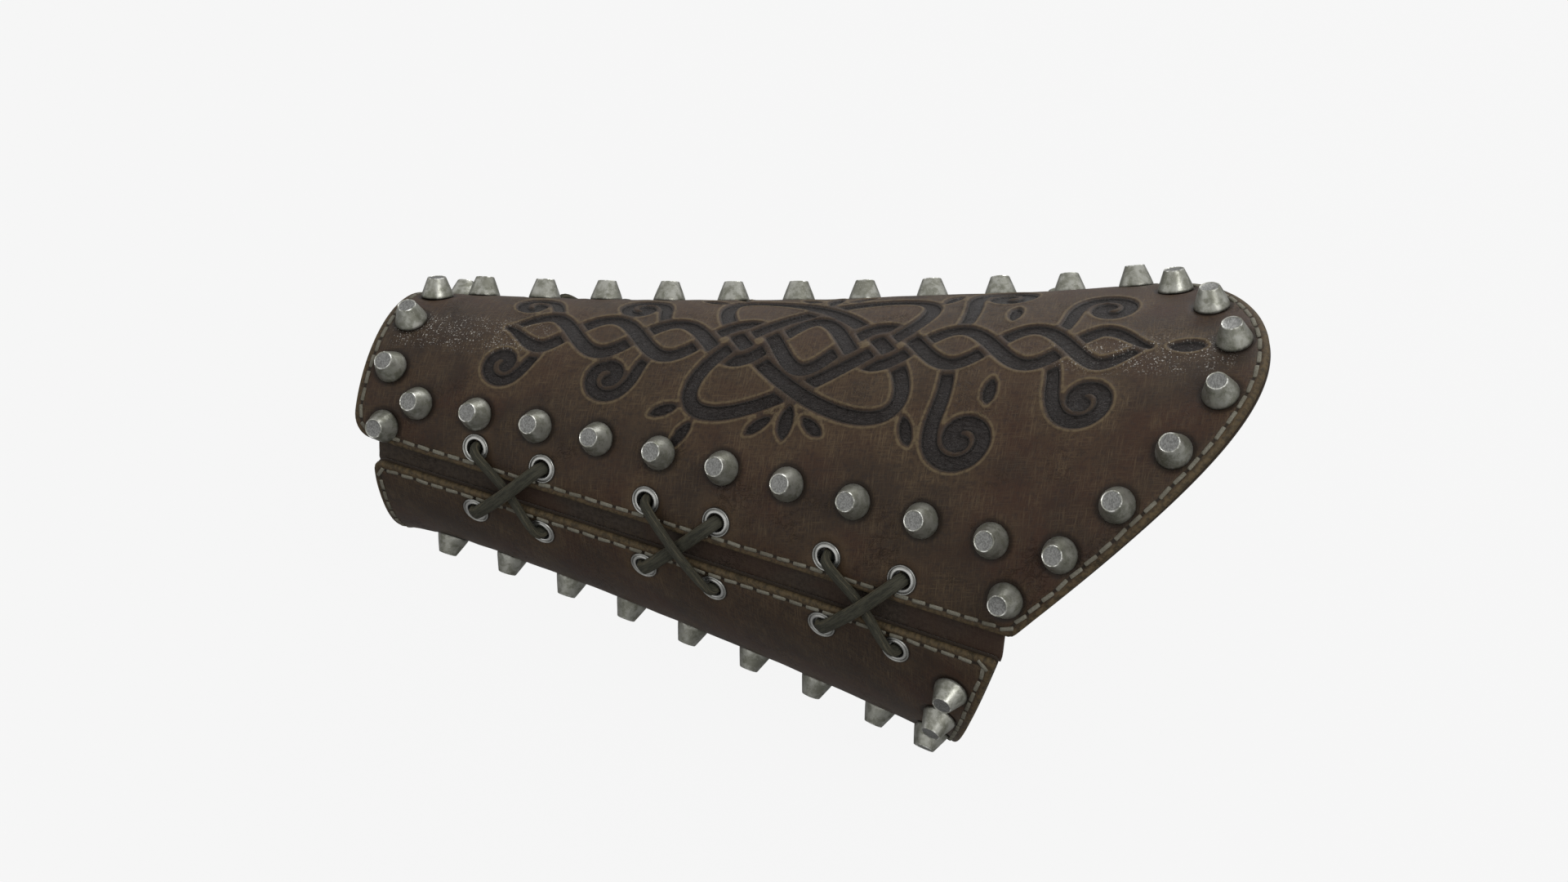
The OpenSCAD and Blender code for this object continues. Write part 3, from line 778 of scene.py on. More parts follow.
# leather panels, linings and tongues
leather = {
    "swell": 0.35, "channel": (2.3, 0.32, 0.6), "fill": 2.1,
    "calmSpot": (5.5, 12), "calmEdge": (1.5, 9),  # where the swell dies out near a stud and an edge
    "rings": (0.1, 0.3, 0.65, 1.1, 1.75, 2.3, 2.85, 3.6),
}
lining = {"overlap": 0.04, "rings": (0.08, 0.25, 0.5, 2.3), "fill": 4.0}
tongue = {
    "depth": 3.5, "thickness": 1.4, "tuck": 1.0, "seam": 2.4, "seamRise": 0.28, "middle": 72 * degree,
    "rings": (0.08, 0.25, 0.7, 1.6), "step": 1.6, "soften": 3, "fill": 2.4,
}


def slowSwell(x, angle):
    return (
        np.sin(x / 17.0 + 1.3 * np.sin(angle * 2.1)) * np.sin(angle * 3.3 + x / 43.0)
        + 0.5 * np.sin(x / 9.5 + angle * 4.2 + 1.0)
    ) / 1.5


def leatherTop(studs, eyelets, drawn=None):
    def level(x, angle, edge):
        places = onFlare(x, angle, 0.0)
        stud, eyelet = spotDistance(places, studs), spotDistance(places, eyelets)
        sinkStud = seat["sink"] * (1 - softStep(stud, seat["stud"], seat["stud"] + seat["fade"]))
        sinkEyelet = seat["sink"] * (1 - softStep(eyelet, seat["eyelet"], seat["eyelet"] + seat["fade"]))
        free = softStep(np.minimum(stud, eyelet), *leather["calmSpot"]) * softStep(edge, *leather["calmEdge"])
        height = leather["swell"] * slowSwell(x, angle) * free
        inset, deep, wide = leather["channel"]
        height = height - deep * np.exp(-((edge - inset) / wide) ** 2) - sinkStud - sinkEyelet
        if drawn is not None:
            tool = drawn(x, angle)
            height = height - tooling["deep"] * softStep(-tool, -tooling["shoulder"], tooling["wall"])
            burr = np.exp(-((tool - tooling["burrAt"]) / tooling["burrWidth"]) ** 2)
            height = height + tooling["burr"] * burr
        return height
    return level


def flatTop(depth):
    return lambda x, angle, edge: np.full(len(x), -depth)


outerStuds, innerStuds = outerStudSpots(), innerStudSpots()
outerEyelets, innerEyelets = eyeletSpots(True), eyeletSpots(False)
outerPanel = makePanel(outerOutline(), 0.0)
innerPanel = makePanel(innerOutline(), math.pi)


def drawPattern():
    cell, (x0, y0), (wide, high) = tooling["grid"], tooling["corner"], tooling["size"]
    xs, ys = np.arange(x0, x0 + wide, cell), np.arange(y0, y0 + high, cell)
    gx, gy = np.meshgrid(xs, ys, indexing="ij")
    field = patternField(np.stack([gx.ravel(), gy.ravel()], 1)).reshape(gx.shape)
    for _ in range(2):  # soften the corners a little, as a swivel knife leaves them
        field[1:-1, 1:-1] = field[1:-1, 1:-1] / 2 + (
            field[:-2, 1:-1] + field[2:, 1:-1] + field[1:-1, :-2] + field[1:-1, 2:]
        ) / 8

    def toolAt(x, angle):
        s = angle * radiusAt(x)
        u, v = (x - xs[0]) / cell, (s - ys[0]) / cell
        inside = (u > 0) & (u < len(xs) - 1) & (v > 0) & (v < len(ys) - 1)
        u, v = np.clip(u, 0, len(xs) - 1.001), np.clip(v, 0, len(ys) - 1.001)
        i, j = u.astype(int), v.astype(int)
        u, v = u - i, v - j
        value = (field[i, j] * (1 - u) + field[i + 1, j] * u) * (1 - v)
        value = value + (field[i, j + 1] * (1 - u) + field[i + 1, j + 1] * u) * v
        return np.where(inside, value, farAway)

    points = []
    for level in (-tooling["wall"], 0.0, tooling["shoulder"], tooling["burrAt"], tooling["outermost"]):
        for line, closed in contourLines(field, xs, ys, level):
            if len(line) > 8:
                points.append(resample(line, 0.7, closed))
    grid = hexGrid(tooling["fillFrom"], tooling["fillTo"], tooling["fill"])
    near = toolAt(grid[:, 0], unflatten(grid, 0.0)[1])
    inner, start, stop = tooling["fillReach"]
    points.append(grid[((near < inner) | (near > start)) & (near < stop)])
    return toolAt, np.vstack(points)


def makeLeather(name, panel, studs, eyelets, drawn=None, lines=()):
    detail = [
        fixingRings(studs, seat["studRings"], panel["middle"]),
        fixingRings(eyelets, seat["eyeletRings"], panel["middle"], seat["holeSides"]), *lines,
    ]

    def facts(x, angle):
        places = onFlare(x, angle, 0.0)
        return {
            "tool": drawn(x, angle) if drawn else np.full(len(x), farAway),
            "stud": spotDistance(places, studs), "eyelet": spotDistance(places, eyelets),
        }

    thick = cut["leatherThickness"]
    thing = makeSheet(name, panel, leatherTop(studs, eyelets, drawn), flatTop(thick), thick / 2, eyelets,
                      np.vstack(detail), leather["rings"], leather["fill"], facts)
    print(name, "made", len(thing.data.polygons))
    return thing


toolAt, patternPoints = drawPattern()
clearOfStuds = spotDistance(onFlare(*unflatten(patternPoints, 0.0), 0.0), outerStuds) > seat["clear"]
print("pattern drawn", len(patternPoints))
patternPoints = patternPoints[clearOfStuds]
outerLeather = makeLeather("outerLeather", outerPanel, outerStuds, outerEyelets, toolAt, [patternPoints])
innerLeather = makeLeather("innerLeather", innerPanel, innerStuds, innerEyelets)


def makeLining(name, panel, holes):
    depth, whole = cut["leatherThickness"], cut["panelThickness"]
    return makeSheet(
        name, panel, flatTop(depth - lining["overlap"]), flatTop(whole), (whole - depth) / 2, holes,
        fixingRings(holes, (seat["plainRing"],), panel["middle"]), lining["rings"], lining["fill"],
    )


outerLining = makeLining("outerLining", outerPanel, outerEyelets)
innerLining = makeLining("innerLining", innerPanel, innerEyelets)


def makeTongue(name, side):
    panel = makePanel(tongueOutline(side), side * tongue["middle"], tongue["step"], tongue["soften"])
    depth, thick = tongue["depth"], tongue["thickness"]

    def raised(x, angle):
        foot = side * (angleOf(x, innerLacedZ(x)) + tongue["seam"] / radiusAt(x))
        return tongue["seamRise"] * (1 - softStep(side * (foot - angle) * radiusAt(x), 1.0, 3.0))

    return makeSheet(
        name, panel, lambda x, angle, edge: raised(x, angle) - depth,
        lambda x, angle, edge: raised(x, angle) - depth - thick, thick / 2,
        rings=tongue["rings"], fill=tongue["fill"],
    )


nearTongue, farTongue = makeTongue("nearTongue", 1), makeTongue("farTongue", -1)
print("linings and tongues made")


def turned(name, profile, sides, rises):
    # a closed turned shape about Z from (radius, height) pairs, with how far up each ring stands
    points, faces, rise, rings = [], [], [], []
    for (r, h), level in zip(profile, rises):
        start, count = len(points), sides if r else 1
        turns = 2 * math.pi * np.arange(count) / sides
        points += [(r * math.cos(a), r * math.sin(a), h) for a in turns]
        rise += [level] * count
        rings.append([start + k % count for k in range(sides)])
    pairs = list(zip(rings, rings[1:]))
    if profile[0][0]:
        pairs.append((rings[-1], rings[0]))
    for low, high in pairs:
        for k in range(sides):
            m = (k + 1) % sides
            face = list(dict.fromkeys([low[k], low[m], high[m], high[k]]))
            if len(face) > 2:
                faces.append(face)
    return keptAside(meshFrom(name, np.array(points) / mm, faces, {"rise": rise}, None))


def keptAside(thing):  # a shape that only the trees use
    bpy.context.scene.collection.objects.unlink(thing)
    return thing


def add(tree, kind, settings=None, **inputs):  # an input is named, or numbered as n0, n1 and so on
    node = tree.nodes.new(kind)
    for key, value in (settings or {}).items():
        setattr(node, key, value)
    for key, value in inputs.items():
        socket = node.inputs[int(key[1:])] if key[1:].isdigit() else node.inputs[key.replace("_", " ")]
        if isinstance(value, bpy.types.NodeSocket):
            tree.links.new(value, socket)
        else:
            socket.default_value = value
    return node


def newTree(name, kind, inputs, outputs):
    tree = bpy.data.node_groups.new(name, kind)
    for label, socketKind, value in inputs:
        socket = tree.interface.new_socket(label, in_out="INPUT", socket_type="NodeSocket" + socketKind)
        if value is not None:
            socket.default_value = value
    for label, socketKind in outputs:
        tree.interface.new_socket(label, in_out="OUTPUT", socket_type="NodeSocket" + socketKind)
    return tree, tree.nodes.new("NodeGroupInput").outputs, tree.nodes.new("NodeGroupOutput").inputs


def outwardTurn(tree):  # the helper's own direction away from the leather
    outward = add(tree, "GeometryNodeInputNamedAttribute", {"data_type": "FLOAT_VECTOR"}, Name="outward")
    return add(tree, "FunctionNodeAlignRotationToVector", {"axis": "Z"}, Vector=outward.outputs[0]).outputs[0]


def standShapes(tree, given, points, upright, low, high, size):
    # real copies of the shape on the points, each turned a little by chance
    turn = add(tree, "FunctionNodeRandomValue", {"data_type": "FLOAT_VECTOR"},
               Min=low, Max=high, Seed=given["Seed"])
    spin = add(tree, "FunctionNodeEulerToRotation", Euler=turn.outputs[0])
    both = add(tree, "FunctionNodeRotateRotation", {"rotation_space": "LOCAL"},
               Rotation=upright, Rotate_By=spin.outputs[0])
    scale = add(tree, "ShaderNodeCombineXYZ", X=size[0], Y=size[1], Z=size[2])
    shape = add(tree, "GeometryNodeObjectInfo", Object=given["Shape"])
    placed = add(tree, "GeometryNodeInstanceOnPoints", Points=points, Instance=shape.outputs["Geometry"],
                 Rotation=both.outputs[0], Scale=scale.outputs[0])
    return add(tree, "GeometryNodeRealizeInstances", Geometry=placed.outputs[0]).outputs[0]


def fixingTree():
    tree, given, end = newTree("setFixings", "GeometryNodeTree", [
        ("Geometry", "Geometry", None), ("Shape", "Object", None), ("Width", "Float", 1.0),
        ("Height", "Float", 1.0), ("Unevenness", "Float", 0.0), ("Lean", "Float", 0.0), ("Seed", "Int", 0),
        ("Material", "Material", None),
    ], [("Geometry", "Geometry")])
    lean = calc(tree, "MULTIPLY", given["Lean"], -1.0)
    low = add(tree, "ShaderNodeCombineXYZ", X=lean, Y=lean, Z=-3.1).outputs[0]
    high = add(tree, "ShaderNodeCombineXYZ", X=given["Lean"], Y=given["Lean"], Z=3.1).outputs[0]
    points = add(tree, "GeometryNodeMeshToPoints", Mesh=given["Geometry"]).outputs[0]
    real = standShapes(tree, given, points, outwardTurn(tree), low, high,
                       (given["Width"], given["Width"], given["Height"]))
    # small dents, as hand-finished metal has
    place = add(tree, "GeometryNodeInputPosition").outputs[0]
    rough = add(tree, "ShaderNodeTexNoise", {"noise_dimensions": "3D"}, Vector=place, Scale=260.0, Detail=1.0)
    centred = add(tree, "ShaderNodeVectorMath", {"operation": "SUBTRACT"},
                  n0=rough.outputs["Color"], n1=(0.5, 0.5, 0.5))
    offset = add(tree, "ShaderNodeVectorMath", {"operation": "SCALE"},
                 n0=centred.outputs[0], Scale=given["Unevenness"])
    moved = add(tree, "GeometryNodeSetPosition", Geometry=real, Offset=offset.outputs[0])
    done = add(tree, "GeometryNodeSetMaterial", Geometry=moved.outputs[0], Material=given["Material"])
    tree.links.new(done.outputs[0], end[0])
    return tree


def stitchTree():
    tree, given, end = newTree("sewStitches", "GeometryNodeTree", [
        ("Geometry", "Geometry", None), ("Shape", "Object", None), ("Pitch", "Float", 0.005),
        ("Length", "Float", 0.0037), ("Width", "Float", 0.0012), ("Height", "Float", 0.0007),
        ("Seed", "Int", 0), ("Material", "Material", None),
    ], [("Geometry", "Geometry")])
    seam = add(tree, "GeometryNodeMeshToCurve", Mesh=given["Geometry"])
    whole = add(tree, "GeometryNodeSplineLength").outputs[0]
    count = calc(tree, "ROUND", calc(tree, "DIVIDE", whole, given["Pitch"]))
    even = add(tree, "GeometryNodeResampleCurve", {"mode": "COUNT"}, Curve=seam.outputs[0], Count=count)
    along = add(tree, "GeometryNodeInputTangent")
    lengthways = add(tree, "FunctionNodeAlignRotationToVector", {"axis": "X", "pivot_axis": "Z"},
                     Rotation=outwardTurn(tree), Vector=along.outputs[0])
    real = standShapes(tree, given, even.outputs[0], lengthways.outputs[0], (-0.05, -0.05, -0.09),
                       (0.05, 0.05, 0.09), (given["Length"], given["Width"], given["Height"]))
    done = add(tree, "GeometryNodeSetMaterial", Geometry=real, Material=given["Material"])
    tree.links.new(done.outputs[0], end[0])
    return tree


def grow(name, tree, points, outward, edges, values):
    # runs a tree on a helper mesh and keeps the result as a plain mesh
    mesh = bpy.data.meshes.new(name)
    mesh.from_pydata((np.asarray(points) * mm).tolist(), edges, [])
    mesh.attributes.new("outward", "FLOAT_VECTOR", "POINT").data.foreach_set(
        "vector", np.asarray(outward, np.float32).ravel()
    )
    helper = bpy.data.objects.new(name + "Helper", mesh)
    bpy.context.scene.collection.objects.link(helper)
    modifier = helper.modifiers.new("tree", "NODES")
    modifier.node_group = tree
    for item in tree.interface.items_tree:
        if item.item_type == "SOCKET" and item.in_out == "INPUT" and item.name in values:
            modifier[item.identifier] = values[item.name]
    shown = helper.evaluated_get(bpy.context.evaluated_depsgraph_get())
    made = bpy.data.meshes.new_from_object(shown)
    thing = bpy.data.objects.new(name, made)
    bpy.context.scene.collection.objects.link(thing)
    helper.modifiers.remove(modifier)
    bpy.data.objects.remove(helper)
    made.name = name
    return thing


def calc(tree, operation, *values):
    numbered = {f"n{i}": value for i, value in enumerate(values)}
    return add(tree, "ShaderNodeMath", {"operation": operation}, **numbered).outputs[0]


def times(tree, first, *others):
    for other in others:
        first = calc(tree, "MULTIPLY", first, other)
    return first


def plus(tree, first, *others):
    for other in others:
        first = calc(tree, "ADD", first, other)
    return first


def ranged(tree, value, low, high, start=0.0, end=1.0):
    node = add(tree, "ShaderNodeMapRange", {"interpolation_type": "SMOOTHSTEP"}, Value=value,
               From_Min=low, From_Max=high, To_Min=start, To_Max=end)
    return node.outputs[0]


def between(tree, value, low, rise, fall, high):  # 1 from rise to fall, 0 outside low to high
    return times(tree, ranged(tree, value, low, rise), ranged(tree, value, fall, high, 1.0, 0.0))


def tint(tree, factor, a, b):
    a, b = (c if isinstance(c, bpy.types.NodeSocket) else (*c, 1) for c in (a, b))
    settings = {"data_type": "RGBA", "clamp_factor": True}
    return add(tree, "ShaderNodeMix", settings, n0=factor, n6=a, n7=b).outputs[2]


def noiseOf(tree, vector, scale, detail=2.0, rough=0.5, warp=0.0):
    return add(tree, "ShaderNodeTexNoise", Vector=vector, Scale=scale, Detail=detail,
               Roughness=rough, Distortion=warp).outputs[0]


def stretched(tree, vector, scale, shift=(0, 0, 0)):
    return add(tree, "ShaderNodeMapping", Vector=vector, Scale=scale, Location=shift).outputs[0]


def attribute(tree, name, output="Fac"):
    return add(tree, "ShaderNodeAttribute", {"attribute_name": name}).outputs[output]


def bodyPlace(tree):  # the place on the object, in millimetres
    return stretched(tree, add(tree, "ShaderNodeTexCoord").outputs["Object"], (1 / mm, 1 / mm, 1 / mm))


def placeGroup(tree, group, **inputs):
    return add(tree, "ShaderNodeGroup", {"node_tree": group}, **inputs).outputs


def giveOut(tree, out, **found):
    for key, value in found.items():
        tree.links.new(value, out[key])
    return tree


def makeHideGrain():
    # pores, fine creases and the crossed scratches of a hide that has been handled for years
    tree, given, out = newTree("hideGrain", "ShaderNodeTree", [
        ("Place", "Vector", None), ("Pore Size", "Float", 0.55), ("Pore Depth", "Float", 0.035),
        ("Scratch Width", "Float", 0.36), ("Scratch Length", "Float", 6.0), ("Crease Depth", "Float", 0.14),
    ], [("Height", "Float"), ("Scratches", "Float"), ("Mottling", "Float"), ("Blotches", "Float")])
    place = given["Place"]
    pores = add(tree, "ShaderNodeTexVoronoi", {"feature": "SMOOTH_F1"}, Vector=place,
                Scale=calc(tree, "DIVIDE", 1.0, given["Pore Size"]), Smoothness=0.6)
    fine = noiseOf(tree, place, calc(tree, "DIVIDE", 1.3, given["Pore Size"]), 3.0, 0.6)
    pebble = plus(tree, times(tree, pores.outputs["Distance"], -0.8), fine)
    creases = noiseOf(tree, place, 0.32, 4.0, 0.62, 1.2)
    creases = calc(tree, "ABSOLUTE", calc(tree, "SUBTRACT", creases, 0.5))
    creases = ranged(tree, creases, 0.0, 0.05, 1.0, 0.0)
    creases = times(tree, creases, ranged(tree, noiseOf(tree, place, 0.07, 2.0), 0.5, 0.7))
    patch = ranged(tree, noiseOf(tree, place, 0.09, 3.0, 0.6), 0.34, 0.62, 0.25, 1.0)
    found = []
    for upright, size, tilt, shift in ((True, 1.0, 0.06, 0), (True, 0.62, -0.16, 40), (False, 0.8, 0.05, 80)):
        across = calc(tree, "DIVIDE", 1 / size, given["Scratch Width"])
        along = calc(tree, "DIVIDE", 1 / size, given["Scratch Length"])
        leaning = add(tree, "ShaderNodeMapping", Vector=place, Location=(shift, shift, 0),
                      Rotation=(0, 0, tilt))
        way = add(tree, "ShaderNodeCombineXYZ", X=across if upright else along,
                  Y=along if upright else across, Z=1.0).outputs[0]
        drawn = add(tree, "ShaderNodeMapping", Vector=leaning.outputs[0], Scale=way).outputs[0]
        found.append(ranged(tree, noiseOf(tree, drawn, 1.0, 2.0, 0.6, 0.2), 0.50, 0.67, 0.0, size))
    deepest = calc(tree, "MAXIMUM", calc(tree, "MAXIMUM", found[0], found[1]), found[2])
    scratches = times(tree, deepest, patch)
    sunk = times(tree, creases, times(tree, given["Crease Depth"], -1.0))
    height = plus(tree, times(tree, pebble, given["Pore Depth"]), sunk, times(tree, scratches, -0.02))
    return giveOut(tree, out, Height=height, Scratches=scratches,
                   Mottling=noiseOf(tree, place, 0.75, 4.0, 0.62),
                   Blotches=noiseOf(tree, place, 0.028, 3.0, 0.55, 0.4))


def makeWornEdge():
    # how much of the colour is rubbed away beside an edge, broken up by the grain
    tree, given, out = newTree("wornEdge", "ShaderNodeTree", [
        ("Distance", "Float", 0.0), ("Place", "Vector", None), ("Reach", "Float", 1.5),
        ("Ragged", "Float", 0.5),
    ], [("Wear", "Float")])
    ragged = calc(tree, "SUBTRACT", noiseOf(tree, given["Place"], 0.8, 4.0, 0.65), 0.5)
    ragged = times(tree, ragged, given["Ragged"], times(tree, given["Reach"], 2.4))
    shifted = plus(tree, given["Distance"], ragged)
    share = calc(tree, "DIVIDE", shifted, given["Reach"])
    return giveOut(tree, out, Wear=ranged(tree, share, 0.45, 1.25, 1.0, 0.0))


def makeMetalPatina():
    # cloudy tone, pits and hammer marks of old cast or rolled metal
    tree, given, out = newTree("metalPatina", "ShaderNodeTree", [
        ("Place", "Vector", None), ("Cloud Size", "Float", 3.0), ("Pit Size", "Float", 0.3),
        ("Pit Depth", "Float", 0.02),
    ], [("Tone", "Float"), ("Specks", "Float"), ("Height", "Float")])
    place = given["Place"]
    fine = noiseOf(tree, place, calc(tree, "DIVIDE", 1.0, given["Pit Size"]), 3.0, 0.65)
    marks = noiseOf(tree, place, 0.9, 2.0, 0.5)
    cloud = noiseOf(tree, place, calc(tree, "DIVIDE", 1.0, given["Cloud Size"]), 4.0, 0.6, 0.3)
    height = plus(tree, times(tree, fine, given["Pit Depth"]), times(tree, marks, 0.035))
    return giveOut(tree, out, Tone=cloud, Specks=fine, Height=height)


hideGrain, wornEdge, metalPatina = makeHideGrain(), makeWornEdge(), makeMetalPatina()


def newFinish(name, look, **fixed):
    # puts a colour, a roughness, a height in millimetres and perhaps a shine on a Principled surface
    material = bpy.data.materials.new(name)
    material.use_nodes = True
    tree = material.node_tree
    surface = tree.nodes["Principled BSDF"]
    colour, rough, height, *shine = look(tree)
    tree.links.new(colour, surface.inputs["Base Color"])
    tree.links.new(rough, surface.inputs["Roughness"])
    bump = add(tree, "ShaderNodeBump", Strength=1.0, Distance=mm, Height=height)
    tree.links.new(bump.outputs[0], surface.inputs["Normal"])
    if shine:
        tree.links.new(shine[0], surface.inputs["Metallic"])
    for key, value in fixed.items():
        surface.inputs[key.replace("_", " ")].default_value = value
    return material


def faded(tree, value, low, high):  # 1 up to low, 0 beyond high
    return ranged(tree, value, low, high, 1.0, 0.0)


def painted(tree, colour, tone, mask, *strength):
    return tint(tree, times(tree, mask, *strength), colour, tone)


hide = {
    "deep": (0.0273, 0.0163, 0.0105), "red": (0.0393, 0.0183, 0.0108),  # the dye
    "worn": (0.0505, 0.0332, 0.0200), "warm": (0.0655, 0.0408, 0.0225), "scratch": (0.125, 0.088, 0.050),
    "tan": (0.110, 0.079, 0.041), "olive": (0.044, 0.033, 0.018),  # the rubbed edge
    # ridge: tan of the outline, rubbed and partly a painted highlight; the pale ground tone is painted sheen
    # on wrinkle crests
    "ridge": (0.135, 0.099, 0.055), "ground": (0.0145, 0.0115, 0.0110), "groundSheen": (0.036, 0.031, 0.029),
    # the pale last tone on the next line is for painted glints of highlight
    # the seam tone, the darkest, is used for painted shade: round studs and eyelets, in the sewn channel and
    # at the foot of the pattern's walls
    "seam": (0.0095, 0.0075, 0.006), "paintedGlint": (0.62, 0.60, 0.55),
    # how strongly each tone covers the one below it
    "wornShare": 0.6, "cloudShare": 0.35, "ringShadeShare": 0.65, "rubbedShare": 0.38, "rimShare": 0.85,
    "channelShadeShare": 0.75, "outlineRubAndHighlightShare": 0.9, "wallShadeShare": 0.45, "groundShare": 0.95, "footShadeShare": 0.7,
    "paintedGlintShare": 0.9, "scratchShare": 0.36, "handledScratches": 0.55,
    # distances in millimetres from an edge, a stud, an eyelet or the pattern
    # the painted shade round studs and eyelets fades out between the two distances given for each
    "rubbedReach": 3.4, "rimReach": 1.45, "studRingShade": (5.1, 6.6), "eyeletRingShade": (4.0, 4.8),
    "eyeletHalo": (4.6, 10.0), "handledReach": (-1.0, 13.0), "channel": (1.75, 2.05, 2.55, 2.9),
    # burr and foot: where painted shade lies, on the pattern's walls and at their foot inside the band
    "outline": (0.32, 0.62, 0.86, 1.30), "burr": (-0.5, -0.1, 0.12, 0.42), "foot": (-0.85, -0.55, -0.3, -0.1),
    # where the painted glints of highlight lie along the arm, at the wrist and at the flap, and across it
    "wristGlints": (3, 8, 28, 66), "flapGlints": (190, 218, 238, 247), "acrossGlints": (-6, 0, 6, 12),
    "roughness": 0.43, "wrinkles": 0.55,
}


def dyedTone(tree, place, grain, handled):
    mottling, blotches = grain["Mottling"], grain["Blotches"]
    colour = tint(tree, ranged(tree, blotches, 0.42, 0.60), hide["deep"], hide["red"])
    patches = noiseOf(tree, stretched(tree, place, (1, 1, 1), (70, 20, 0)), 0.045, 4.0, 0.6)
    colour = painted(tree, colour, hide["worn"], ranged(tree, patches, 0.48, 0.70), hide["wornShare"])
    halo = faded(tree, attribute(tree, "eyelet"), *hide["eyeletHalo"])
    halo = times(tree, halo, ranged(tree, blotches, 0.35, 0.6, 0.3, 0.9))
    colour = painted(tree, colour, hide["warm"], calc(tree, "MAXIMUM", handled, halo))
    colour = painted(tree, colour, hide["ground"], ranged(tree, mottling, 0.52, 0.36), hide["cloudShare"])
    share = plus(tree, hide["scratchShare"], times(tree, handled, hide["handledScratches"]))
    marks = times(tree, grain["Scratches"], share)
    return painted(tree, colour, hide["scratch"], marks)


def edgeTones(tree, colour, mottling, edge, rubbed, rim):  # the cut edge and the sewn channel
    rubbedTone = tint(tree, ranged(tree, mottling, 0.36, 0.62), hide["olive"], hide["tan"])
    colour = painted(tree, colour, rubbedTone, rubbed, hide["rubbedShare"])
    colour = painted(tree, colour, rubbedTone, rim, hide["rimShare"])
    # the sewn channel is darkened with the seam tone: painted shade in the groove
    return painted(tree, colour, hide["seam"], between(tree, edge, *hide["channel"]), hide["channelShadeShare"])


def patternTones(tree, colour, mottling, tool, ground, wrinkle):  # rubbed outline with a painted highlight, dark pressed ground with painted sheen, painted shade on the walls
    # the tan line over the raised burr outside each band is rubbed tone and partly a painted highlight
    outline = between(tree, tool, *hide["outline"])
    outline = times(tree, outline, ranged(tree, mottling, 0.32, 0.58, 0.35, 1.0))
    colour = painted(tree, colour, hide["ridge"], outline, hide["outlineRubAndHighlightShare"])
    # the pattern's walls darkened with the ground tone: painted shade
    colour = painted(tree, colour, hide["ground"], between(tree, tool, *hide["burr"]), hide["wallShadeShare"])
    # paler, greyer tone on the crests of the ground's wrinkles: painted sheen
    groundAndSheen = tint(tree, ranged(tree, wrinkle, 0.42, 0.66), hide["ground"], hide["groundSheen"])
    colour = painted(tree, colour, groundAndSheen, ground, hide["groundShare"])
    # a dark line at the foot of each wall in the seam tone: painted shade
    return painted(tree, colour, hide["seam"], between(tree, tool, *hide["foot"]), hide["footShadeShare"])


def paintedGlints(tree, place, ground):
    # pale specks of painted highlight, glints in a strip along the arm's line, near the wrist and the flap
    split = add(tree, "ShaderNodeSeparateXYZ", Vector=place).outputs
    wrist, flap = (between(tree, split["X"], *hide[key]) for key in ("wristGlints", "flapGlints"))
    across = between(tree, split["Y"], *hide["acrossGlints"])
    zone = times(tree, calc(tree, "MAXIMUM", wrist, flap), across)
    specks = noiseOf(tree, stretched(tree, place, (1, 0.8, 1)), 1.9, 3.0, 0.72)
    cluster = ranged(tree, noiseOf(tree, place, 0.22, 3.0, 0.6), 0.40, 0.60, 0.0, 0.06)
    found = times(tree, ranged(tree, plus(tree, specks, cluster), 0.640, 0.668), zone)
    return times(tree, found, ranged(tree, ground, 0.2, 0.8, 1.0, 0.25))


def tooledHide(tree):
    place = attribute(tree, "flat", "Vector")
    edge, tool = attribute(tree, "edge"), attribute(tree, "tool")
    grain = placeGroup(tree, hideGrain, Place=place)
    mottling = grain["Mottling"]
    # how warm the leather is handled round the pattern
    drift = calc(tree, "SUBTRACT", noiseOf(tree, place, 0.075, 3.0, 0.6), 0.5)
    handled = faded(tree, calc(tree, "MULTIPLY_ADD", drift, 26.0, tool), *hide["handledReach"])
    handled = times(tree, handled, ranged(tree, mottling, 0.3, 0.7, 0.30, 0.80))
    colour = dyedTone(tree, place, grain, handled)
    # painted shade in a ring at the foot of the studs and eyelets
    ringShade = calc(tree, "MAXIMUM", *(
        faded(tree, attribute(tree, key), *hide[key + "RingShade"]) for key in ("stud", "eyelet")
    ))
    colour = painted(tree, colour, hide["seam"], ringShade, hide["ringShadeShare"])
    rubbed, rim = (placeGroup(tree, wornEdge, Distance=edge, Place=place, Reach=reach, Ragged=ragged)["Wear"]
                   for reach, ragged in ((hide["rubbedReach"], 0.5), (hide["rimReach"], 0.30)))
    colour = edgeTones(tree, colour, mottling, edge, rubbed, rim)
    ground = ranged(tree, tool, 0.05, -0.30)
    wrinkle = noiseOf(tree, stretched(tree, place, (0.75, 1.5, 1)), 0.8, 4.0, 0.62, 1.8)
    colour = patternTones(tree, colour, mottling, tool, ground, wrinkle)
    # pale specks painted on: glints of highlight, not marks in the hide
    colour = painted(tree, colour, hide["paintedGlint"], paintedGlints(tree, place, ground), hide["paintedGlintShare"])
    rough = plus(tree, hide["roughness"], times(tree, mottling, 0.18), times(tree, rim, 0.08),
                 times(tree, ground, -0.22))
    return colour, rough, plus(tree, grain["Height"], times(tree, ground, wrinkle, hide["wrinkles"]))


liningTones = {"dark": (0.070, 0.046, 0.029), "pale": (0.125, 0.088, 0.057), "edge": (0.034, 0.024, 0.016)}


def liningTone(tree):
    place = bodyPlace(tree)
    nap, cloud = noiseOf(tree, place, 2.6, 4.0, 0.7), noiseOf(tree, place, 0.08, 4.0, 0.6)
    mixed = plus(tree, times(tree, nap, 0.5), times(tree, cloud, 0.5))
    colour = tint(tree, ranged(tree, mixed, 0.38, 0.62), liningTones["dark"], liningTones["pale"])
    colour = painted(tree, colour, liningTones["edge"], faded(tree, attribute(tree, "edge"), 0.5, 1.1))
    return colour, ranged(tree, nap, 0.3, 0.7, 0.85, 0.95), times(tree, nap, 0.09)


